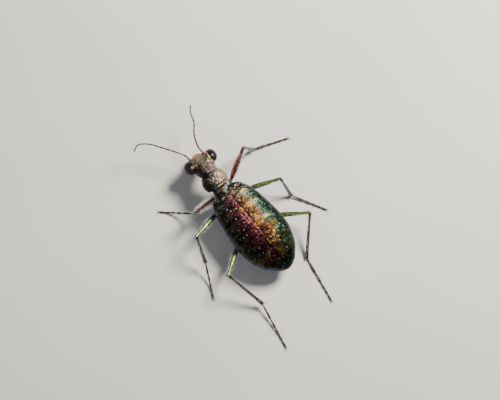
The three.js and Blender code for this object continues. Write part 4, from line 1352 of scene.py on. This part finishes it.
def head_shell(sizes):
    """Bodies and masks of the head with a crest over each eye, the eye rims and the feeler sockets."""
    body, masks = head_capsule(sizes)
    bodies = [in_body(body)]
    for side in SIDES.values():
        crest = curve_through([(side * x, y, z) for x, y, z in BROW_CREST], 70)
        collar = FEELER_ROOT + np.outer(SOCKET_COLLAR, FEELER_SOCKET - FEELER_ROOT)
        extras = [
            (tube_rings(crest, np.interp(np.linspace(0, 1, 70), *BROW_GIRTH), sides=30, flatness=0.8), 1.0),
            (orbit_rings(side), 0.25),
            (tube_rings(collar * (side, 1, 1), np.full(3, SOCKET_GIRTH), sides=24), 0.0),
        ]
        # Share of the painted yellow ridge highlight on each crest, eye rim and socket collar
        for rings, ridge_highlight in extras:
            points, faces = loft(raised(rings, rough(rings, HEAD_RIM_GRAIN)))
            masks["ridge"] = np.append(masks["ridge"], np.full(len(points), ridge_highlight))
            # flank for the painted shade and highlight, as on the head
            masks["flank"] = np.append(masks["flank"], 0.52 + points[:, 0] / 3.2)
            bodies.append(in_body((points, faces)))
    return bodies, masks


def eye_globe(side):
    return in_body(loft(globe(stations=90, sides=96, pole=0.02) * EYE_RADII + EYE_CENTRE * (side, 1, 1)))


def lip_plate():
    """The upper lip, domed, with three blunt teeth along its front edge."""
    xs = dense_ends(-LIP_HALF_WIDTH, LIP_HALF_WIDTH, LIP_STEPS)
    reach = np.abs(xs) / LIP_HALF_WIDTH
    front = LIP_BACK + (LIP_FRONT - LIP_BACK) * np.sqrt(np.clip(1 - reach**3.2, 0, 1))
    front += ridges(xs, LIP_TEETH) + ridges(np.abs(xs), LIP_SIDE_TEETH) - 0.02
    back = np.full(len(xs), LIP_BACK)
    crown = LIP_TOP - LIP_CROWN * reach**2
    front = np.maximum(front, back + LIP_LEAST_DEPTH)
    rings = plate(xs, back, front, crown, crown - LIP_THICKNESS, sides=34, fullness=LIP_FULLNESS)
    height = ridges(np.abs(rings[..., 0]), LIP_DENT) + rough(rings, LIP_GRAIN)
    return in_body(loft(raised(rings, height)))


def jaw_horn(side):
    """A curved jaw with teeth on its inner edge."""
    path = curve_through([(side * x, y, z) for x, y, z in JAW], 46)
    share = np.linspace(0, 1, len(path))
    bodies = [tube(path, JAW_RADIUS * (1 - 0.8 * share**1.4), sides=24, flatness=0.8)]
    inward = unit(np.array([-side, 0.35, 0.0]))
    for root in even(path, JAW_TEETH):
        bodies.append(spike(root, root + inward * JAW_TOOTH_LENGTH, JAW_TOOTH_RADIUS, (0, 0.03, 0)))
    return [in_body(body) for body in bodies]


def palp(points, side, joints, radius):
    """The segments of a palp, each widest past its middle."""
    path = curve_through([(side * x, y, z) for x, y, z in points], 60)
    share = np.linspace(0, 1, 16)
    radii = radius * (0.62 + 0.38 * np.sin(share * 2.2))
    after, before = PALP_GAPS
    bodies = []
    for start, end in zip(joints[:-1], joints[1:]):
        inner = np.linspace(start + after, end - before, len(share))
        bodies.append(in_body(tube(even(path, inner), radii, sides=14)))
    return bodies


class BEETLE_OT_head(Operator):
    """Build the head shell"""

    bl_idname = "beetle.head"
    bl_label = "Head"

    def execute(self, context):
        bodies, masks = head_shell(context.scene.beetle_sizes)
        add_piece("head_capsule", bodies, "head_shell", ["head"], masks)
        return {"FINISHED"}


class BEETLE_OT_eyes(Operator):
    """Build the two eyes"""

    bl_idname = "beetle.eyes"
    bl_label = "Eyes"

    def execute(self, context):
        for name, side in SIDES.items():
            add_piece(f"eye_globe_{name}", [eye_globe(side)], "eye", [f"eye_{name}"])
        return {"FINISHED"}


class BEETLE_OT_mouth(Operator):
    """Build the upper lip, the jaws and the palps"""

    bl_idname = "beetle.mouth"
    bl_label = "Mouthparts"

    def execute(self, context):
        add_piece("lip_plate", [lip_plate()], "lip", ["labrum"])
        for name, side in SIDES.items():
            long_palp = palp(LONG_PALP, side, LONG_PALP_JOINTS, LONG_PALP_RADIUS)
            short_palp = palp(SHORT_PALP, side, SHORT_PALP_JOINTS, SHORT_PALP_RADIUS)
            add_piece(f"jaw_{name}", jaw_horn(side), "jaw", [f"mandible_{name}"])
            add_piece(f"long_palp_{name}", long_palp, "jaw", [f"maxillary_palp_{name}"])
            add_piece(f"short_palp_{name}", short_palp, "jaw", [f"labial_palp_{name}"])
        return {"FINISHED"}


# Feelers


def feeler_path(name, side):
    start = np.array([FEELER_ROOT, FEELER_SOCKET]) * (side, 1, 1) @ HEAD_MATRIX.T + NECK
    return curve_through([*start, *FEELER_ROUTES[name]], 400)


def feeler_bodies(path, joints):
    """The segments of a feeler between shares of its length, each thickened near its end."""
    bodies = []
    after, before = FEELER_GAPS
    share = np.linspace(0, 1, 22)
    swell = (0.74 + 0.26 * np.sin(share * 2.3)) * (1 + 0.1 * hill(share - 0.92, 0.08))
    for start, end in zip(joints[:-1], joints[1:]):
        inner = np.linspace(start + after, end - before, len(share))
        bodies.append(tube(even(path, inner), np.interp(inner, *FEELER_GIRTH) * swell, sides=14))
    return bodies


class BEETLE_OT_feelers(Operator):
    """Build the two feelers"""

    bl_idname = "beetle.feelers"
    bl_label = "Feelers"

    def execute(self, context):
        for name, side in SIDES.items():
            path = feeler_path(name, side)
            for label, node, joints in FEELER_LENGTHS:
                finish = "feeler_dark" if label == "lash" else "feeler_copper"
                bodies = feeler_bodies(path, joints)
                add_piece(f"feeler_{name}_{label}", bodies, finish, [f"antenna_{name}_{node}"])
        return {"FINISHED"}


# Underside


def trunk_rings(first, last, count, plates):
    """The flat-topped underside between two places, stepped from plate to plate."""
    y = np.linspace(first, last, count)
    angle = full_turn(TRUNK_SIDES)
    fold = BELLY_STEP * (1 - (np.linspace(0, 1, count) * plates) % 1) ** 0.7 if plates else 0.0
    half, depth = ((smooth_along(table, y) - fold)[:, None] for table in (TRUNK_HALF_WIDTH, TRUNK_DEPTH))
    top = (margin_at(y) - TRUNK_TOP_GAP)[:, None]
    up = np.sin(angle)[None, :]
    return placed(
        half * squared(np.cos(angle), TRUNK_FULLNESS),
        y[:, None],
        top + np.where(up < 0, depth * squared(up, TRUNK_FULLNESS), 0.02 * up),
    )


def thorax_bottom():
    rings = trunk_rings(TRUNK_FRONT, TRUNK_SPLIT, THORAX_STEPS, 0)
    x, y = rings[..., 0], rings[..., 1]
    height = rough(rings, THORAX_GRAIN)
    height += ridges(y - THORAX_SEAM_BEND * np.abs(x), THORAX_SEAMS)
    height += ridges(np.abs(x) - 0.05 * y, THORAX_SIDE_SEAM) + ridges(x, THORAX_MIDDLE_LINE)
    return loft(raised(rings, height))


def belly():
    rings = trunk_rings(TRUNK_SPLIT - TRUNK_SPLIT_GAP, TRUNK_BACK, BELLY_STATIONS, BELLY_PLATES)
    return loft(raised(rings, rough(rings, BELLY_GRAIN)))


class BEETLE_OT_underside(Operator):
    """Build the underside of thorax and abdomen"""

    bl_idname = "beetle.underside"
    bl_label = "Underside"

    def execute(self, context):
        add_piece("thorax_bottom", [thorax_bottom()], "underside_shell", ["thorax_underside"])
        add_piece("belly_plates", [belly()], "underside_shell", ["abdomen"])
        return {"FINISHED"}


# Legs


def leg_joints(leg, name):
    """Joints of a leg in space; the segment lengths give the heights of knee and ankle."""
    plan = leg[name]
    turn = np.array(plan["turn"])
    knee, ankle = np.array(plan["knee"]), np.array(plan["ankle"])
    knee_height = turn[2] + math.sqrt(leg["femur"] ** 2 - np.sum((knee - turn[:2]) ** 2))
    ankle_height = knee_height - math.sqrt(leg["tibia"] ** 2 - np.sum((ankle - knee) ** 2))
    return {
        "hip": np.array(leg["hip"]) * (SIDES[name], 1, 1),
        "turn": turn,
        "knee": np.array([*knee, knee_height]),
        "ankle": np.array([*ankle, ankle_height]),
        "toe": np.array([*plan["toe"], FOOT_HEIGHT]),
    }


def thigh_path(joints):
    hip, turn, knee = joints["hip"], joints["turn"], joints["knee"]
    start = hip + unit(turn - hip) * TURN_START
    return curve_through([start, turn, turn + (knee - turn) / 3, turn + (knee - turn) * 2 / 3, knee], 110)


def thigh_radii(leg, path):
    return leg["girth"] * smooth_along(THIGH_PROFILE, np.linspace(0, 1, len(path)))


def shin_path(joints):
    knee, ankle = joints["knee"], joints["ankle"]
    way = unit(ankle - knee)
    share = np.linspace(0, 1, 90)[:, None]
    start = knee + way * SHIN_START
    bow = SHIN_BOW * np.sin(share * math.pi) * unit(np.cross(way, np.cross(UP, way)))
    return start + (ankle - start) * share + bow


def shin_radii(path):
    return smooth_along(SHIN_PROFILE, np.linspace(0, 1, len(path)))


def foot_path(joints):
    ankle, toe = joints["ankle"], joints["toe"]
    bend = ankle + (toe - ankle) * FOOT_BEND
    bend[2] = FOOT_HEIGHT
    return even(bend_between(ankle, bend, toe, 200), np.linspace(FOOT_START, 1, 200))


def spur_ends(leg, joints, side):
    """Root and tip of a spur beside the end of the shin."""
    knee, ankle, toe = joints["knee"], joints["ankle"], joints["toe"]
    forward = unit((toe - ankle) * (1, 1, 0))
    across = np.array([-forward[1], forward[0], 0]) * side
    down = unit(ankle - knee)
    root = ankle + across * SPUR_OUT - down * SPUR_BACK
    heading = unit((forward / 3 + down + across / 2) * (1, 1, 0))
    return root, root + heading * leg["spur"]


def hip_knob(leg, joints):
    """A rounded hip, drawn out towards the thigh and flattened below."""
    rings = globe(stations=48, sides=64, pole=0.03)
    toward = unit(joints["turn"] - joints["hip"])
    pull = 1 + 0.35 * np.clip(rings @ toward, 0, 1) ** 2 - 0.12 * np.clip(-rings[..., 2], 0, 1)
    rings = rings * pull[..., None] * leg["coxa"] + joints["hip"]
    return loft(raised(rings, rough(rings, COXA_GRAIN)))


def thigh(leg, joints):
    """The thigh, and how far each of its points looks up, for its painted highlight on top and painted shade
    below.
    """
    path = thigh_path(joints)
    rings = tube_rings(path, thigh_radii(leg, path), sides=40, flatness=0.92)
    return loft(raised(rings, rough(rings, THIGH_GRAIN))), {"upper": mask(ring_normals(rings)[..., 2])}


def shin(leg, joints):
    """The shin and its two spurs."""
    path = shin_path(joints)
    rings = tube_rings(path, shin_radii(path), sides=28, flatness=0.95)
    bodies = [loft(raised(rings, rough(rings, SHIN_GRAIN)))]
    for side in SIDES.values():
        root, tip = spur_ends(leg, joints, side)
        bodies.append(spike(root, tip, SPUR_RADIUS, (0, 0, 0.02)))
    return bodies


def claw(end, heading, side):
    """A bent claw at the end of the foot, down to just above the floor."""
    spread = turn_about("z", side * CLAW_SPREAD) @ heading
    root = end + spread * 0.02
    tip = root + spread * CLAW_LENGTH
    tip[2] = CLAW_TIP_HEIGHT
    middle = root + spread * CLAW_LENGTH * 0.6 + UP * CLAW_ARCH
    taper = 1 - 0.85 * np.linspace(0, 1, 14)
    return tube(bend_between(root, middle, tip, len(taper)), CLAW_RADIUS * taper, sides=10)


def foot(joints):
    """The five segments of a foot, each widening to its end, and two claws."""
    path = foot_path(joints)
    share = np.linspace(0, 1, 20)
    widening = FOOT_WAIST_RADIUS + (FOOT_END_RADIUS - FOOT_WAIST_RADIUS) * blend(0.1, 0.9, share)
    bodies = []
    for start, end in zip(FOOT_SHARES[:-1], FOOT_SHARES[1:]):
        inner = start + (end - start) * (0.02 + 0.93 * share)
        bodies.append(tube(even(path, inner), widening * (1 - FOOT_TAPER * end), sides=20, flatness=0.85))
    heading = unit((path[-1] - path[-8]) * (1, 1, 0))
    return bodies + [claw(path[-1], heading, side) for side in SIDES.values()]


class BEETLE_OT_legs(Operator):
    """Build the six legs"""

    bl_idname = "beetle.legs"
    bl_label = "Legs"

    def execute(self, context):
        for (leg_name, leg), name in product(LEGS.items(), SIDES):
            joints = leg_joints(leg, name)
            where = f"{leg_name}_{name}"
            metal = "thigh_red_copper" if leg_name == "front" else "thigh_green_copper"
            body, masks = thigh(leg, joints)
            add_piece(f"hip_{where}", [hip_knob(leg, joints)], "underside_shell", [f"coxa_{where}"])
            add_piece(f"thigh_{where}", [body], metal, [f"femur_{where}"], masks)
            add_piece(f"shin_{where}", shin(leg, joints), "leg_dark", [f"tibia_{where}"])
            add_piece(f"foot_{where}", foot(joints), "leg_dark", [f"tarsus_{where}"])
        return {"FINISHED"}


# Bristles on legs and body


TRUNK_BRISTLES = {
    "count": 900, "y": (-10.0, 0.2), "turn": -1, "angles": (0.05, 0.75), "inset": 0.05,
    "section": (TRUNK_HALF_WIDTH, TRUNK_DEPTH), "fullness": TRUNK_FULLNESS,
    "x": 0.0, "z": lambda y: margin_at(y) - TRUNK_TOP_GAP,
    "way": (-0.9, 0.8), "tilt": 0.18, "lengths": (0.4, 0.75), "droop": 0.1, "map": (-10.5, 11.2),
}
PRO_BRISTLES = {
    "count": 64, "y": (0.95, 2.2), "turn": 1, "angles": (-0.35, 0.35), "inset": 0.02,
    "section": (PRO_SIDE, PRO_RISE), "fullness": PRO_FULLNESS,
    "x": PRO_X, "z": lambda y: PRO_Z,
    "way": (0.5, 1.0), "tilt": 0.2, "lengths": (0.35, 0.7), "droop": 0.05, "map": (0.5, 2.1),
}


def row(random, count, first, last, angle, spread):
    """Places along a row and angles round it, both a little uneven."""
    shares = np.linspace(first, last, count) + random.normal(0, 0.25 * (last - first) / count, count)
    return np.clip(shares, 0, 1), angle + random.normal(0, spread, count)


def rows_round(path, radii, count, length, width, kind, random):
    """Rows of one kind of bristle along a thigh, shin or foot."""
    parts = []
    for angle in kind["rows"]:
        shares, angles = row(random, count, *kind["places"], angle, kind["spread"])
        lengths = length * random.uniform(*kind["lengths"], count)
        thick = width * kind["width"]
        parts.append(bristles_round(
            path, radii, shares, angles, lengths, thick, kind["lean"], random, kind["tilt"],
        ))
    return parts


def leg_bristles(leg, name, length, width, random):
    """Pale rows on the thigh and shin and short ones along the foot."""
    joints = leg_joints(leg, name)
    path = thigh_path(joints)
    count, longest = leg["thigh_bristles"]
    parts = rows_round(path, thigh_radii(leg, path), count, length * longest, width, THIGH_BRISTLES, random)
    path = shin_path(joints)
    count = int(SHIN_ROW_BASE + leg["tibia"] * SHIN_ROW_DENSITY)
    parts += rows_round(path, shin_radii(path), count, length, width, SHIN_BRISTLES, random)
    path = foot_path(joints)
    radii = np.full(len(path), FOOT_BRISTLE_RADIUS)
    return parts + rows_round(path, radii, FOOT_ROW_COUNT, length, width, FOOT_BRISTLES, random)


def flank_bristles(kind, random, length, width):
    """Bristles scattered over both sides of the underside or of the prothorax."""
    count = kind["count"]
    y = random.uniform(*kind["y"], count)
    side = random.choice([-1, 1], count)
    angle = kind["turn"] * random.uniform(*kind["angles"], count)
    half, rise = (smooth_along(table, y) - kind["inset"] for table in kind["section"])
    fullness = kind["fullness"]
    roots = placed(
        kind["x"] + side * half * squared(np.cos(angle), fullness),
        y,
        kind["z"](y) + rise * squared(np.sin(angle), fullness),
    )
    forward, upward = kind["way"]
    away = placed(side * np.cos(angle), forward, np.sin(angle) * upward)
    away = away + random.normal(0, kind["tilt"], away.shape)
    map_start, map_length = kind["map"]
    uvs = np.stack([(y - map_start) / map_length, 0.5 + side * angle / math.pi], axis=1)
    lengths = length * random.uniform(*kind["lengths"], count)
    return bristles(roots, away, lengths, width, -UP * kind["droop"], uvs)


def lip_bristles(length, width):
    """A row of bristles along the front of the upper lip."""
    xs = np.linspace(-LIP_BRISTLE_REACH, LIP_BRISTLE_REACH, LIP_BRISTLE_COUNT)
    front = LIP_FRONT - 0.1 - 0.25 * (xs / LIP_HALF_WIDTH) ** 4
    roots = placed(xs, front, LIP_TOP - 0.05) @ HEAD_MATRIX.T + NECK
    away = placed(xs * 0.25, 1.0, 0.25) @ HEAD_MATRIX.T
    uvs = np.stack([0.5 + xs / 2, np.full(len(xs), 0.5)], axis=1)
    lengths = np.full(len(xs), length * LIP_BRISTLE_LENGTH)
    return bristles(roots, away, lengths, width, -UP * 0.05, uvs)


def add_bristles(name, parts):
    bodies, patches = zip(*parts)
    add_piece(name, bodies, "bristle", uv=np.concatenate(patches))


class BEETLE_OT_bristles(Operator):
    """Build the bristles of legs and body"""

    bl_idname = "beetle.bristles"
    bl_label = "Bristles"

    def execute(self, context):
        sizes = context.scene.beetle_sizes
        length, width = sizes.bristle / MM, sizes.bristle_width / MM
        random = np.random.default_rng(SEED + 7)
        for (leg_name, leg), name in product(LEGS.items(), SIDES):
            add_bristles(f"bristles_{leg_name}_{name}", leg_bristles(leg, name, length, width, random))
        parts = [flank_bristles(kind, random, length, width) for kind in (TRUNK_BRISTLES, PRO_BRISTLES)]
        add_bristles("bristles_body", [*parts, lip_bristles(length, width)])
        return {"FINISHED"}


# Floor, light and camera


def add_light(name, target, power, way, distance, size, colour):
    """A round lamp at a distance from the target, turned to it."""
    lamp = bpy.data.lights.new(name, "AREA")
    lamp.shape = "DISK"
    lamp.size = size
    lamp.energy = power
    lamp.color = colour
    light = bpy.data.objects.new(name, lamp)
    way = Vector(way).normalized()
    light.location = target + way * distance
    light.rotation_mode = "QUATERNION"
    light.rotation_quaternion = (-way).to_track_quat("-Z", "Y")
    bpy.context.scene.collection.objects.link(light)


def add_floor():
    """A wide pale floor under the feet."""
    mesh = bpy.data.meshes.new("floor")
    corners = [(-1, -1), (1, -1), (1, 1), (-1, 1)]
    mesh.from_pydata([(x * FLOOR_REACH, y * FLOOR_REACH, 0) for x, y in corners], [], [(0, 1, 2, 3)])
    floor = bpy.data.objects.new("floor", mesh)
    bpy.context.scene.collection.objects.link(floor)
    material, tree, shader, place = finish_of("floor", roughness=0.8)
    tone = ramp(tree, grain(tree, place, 0.05), FLOOR_STOPS)
    tree.links.new(tone, shader.inputs["Base Color"])
    mesh.materials.append(material)


def add_surroundings(strength):
    world = bpy.data.worlds.new("surroundings")
    world.use_nodes = True
    background = world.node_tree.nodes["Background"]
    background.inputs["Color"].default_value = SKY_COLOUR
    background.inputs["Strength"].default_value = strength
    bpy.context.scene.world = world


def add_camera(target, stage):
    """The camera of the photograph, at its height and turn."""
    lens = bpy.data.cameras.new("camera")
    lens.sensor_width = SENSOR_WIDTH
    lens.lens = SENSOR_WIDTH * stage.distance / (IMAGE_WIDTH * MM_PER_PIXEL * MM)
    lens.clip_start, lens.clip_end = 0.01, 10
    camera = bpy.data.objects.new("camera", lens)
    level = math.cos(stage.elevation)
    back = Vector((
        math.sin(stage.azimuth) * level,
        -math.cos(stage.azimuth) * level,
        math.sin(stage.elevation),
    ))
    camera.location = target + back * stage.distance
    camera.rotation_mode = "QUATERNION"
    camera.rotation_quaternion = (-back).to_track_quat("-Z", "Y")
    bpy.context.scene.collection.objects.link(camera)
    bpy.context.scene.camera = camera


class BEETLE_OT_stage(Operator):
    """Add the floor, the lights and the camera"""

    bl_idname = "beetle.stage"
    bl_label = "Stage"

    def execute(self, context):
        stage = context.scene.beetle_stage
        target = Vector(((VIEW_TARGET + BODY_SHIFT) * MM).tolist())
        add_floor()
        add_light("key", target, stage.key_power, **KEY_LIGHT)
        add_light("fill", target, stage.fill_power, **FILL_LIGHT)
        add_surroundings(stage.daylight)
        add_camera(target, stage)
        return {"FINISHED"}


OPERATORS = (
    BEETLE_OT_wing_cases,
    BEETLE_OT_prothorax,
    BEETLE_OT_head,
    BEETLE_OT_eyes,
    BEETLE_OT_mouth,
    BEETLE_OT_feelers,
    BEETLE_OT_underside,
    BEETLE_OT_legs,
    BEETLE_OT_bristles,
    BEETLE_OT_stage,
)


class BEETLE_PT_panel(Panel):
    """Buttons that build the beetle piece by piece"""

    bl_idname = "BEETLE_PT_panel"
    bl_label = "Tiger beetle"
    bl_space_type = "VIEW_3D"
    bl_region_type = "UI"
    bl_category = "Beetle"

    def draw(self, context):
        column = self.layout.column()
        for group in (context.scene.beetle_sizes, context.scene.beetle_colours, context.scene.beetle_stage):
            for name in group.__annotations__:
                column.prop(group, name)
        for operator in OPERATORS:
            column.operator(operator.bl_idname)


CLASSES = (BeetleSizes, BeetleColours, BeetleStage, *OPERATORS, BEETLE_PT_panel)


def register():
    for item in CLASSES:
        bpy.utils.register_class(item)
    bpy.types.Scene.beetle_sizes = PointerProperty(type=BeetleSizes)
    bpy.types.Scene.beetle_colours = PointerProperty(type=BeetleColours)
    bpy.types.Scene.beetle_stage = PointerProperty(type=BeetleStage)


def unregister():
    del bpy.types.Scene.beetle_stage
    del bpy.types.Scene.beetle_colours
    del bpy.types.Scene.beetle_sizes
    for item in reversed(CLASSES):
        bpy.utils.unregister_class(item)


def main():
    register()
    for operator in OPERATORS:
        group, name = operator.bl_idname.split(".")
        getattr(getattr(bpy.ops, group), name)()


if __name__ == "__main__":
    main()
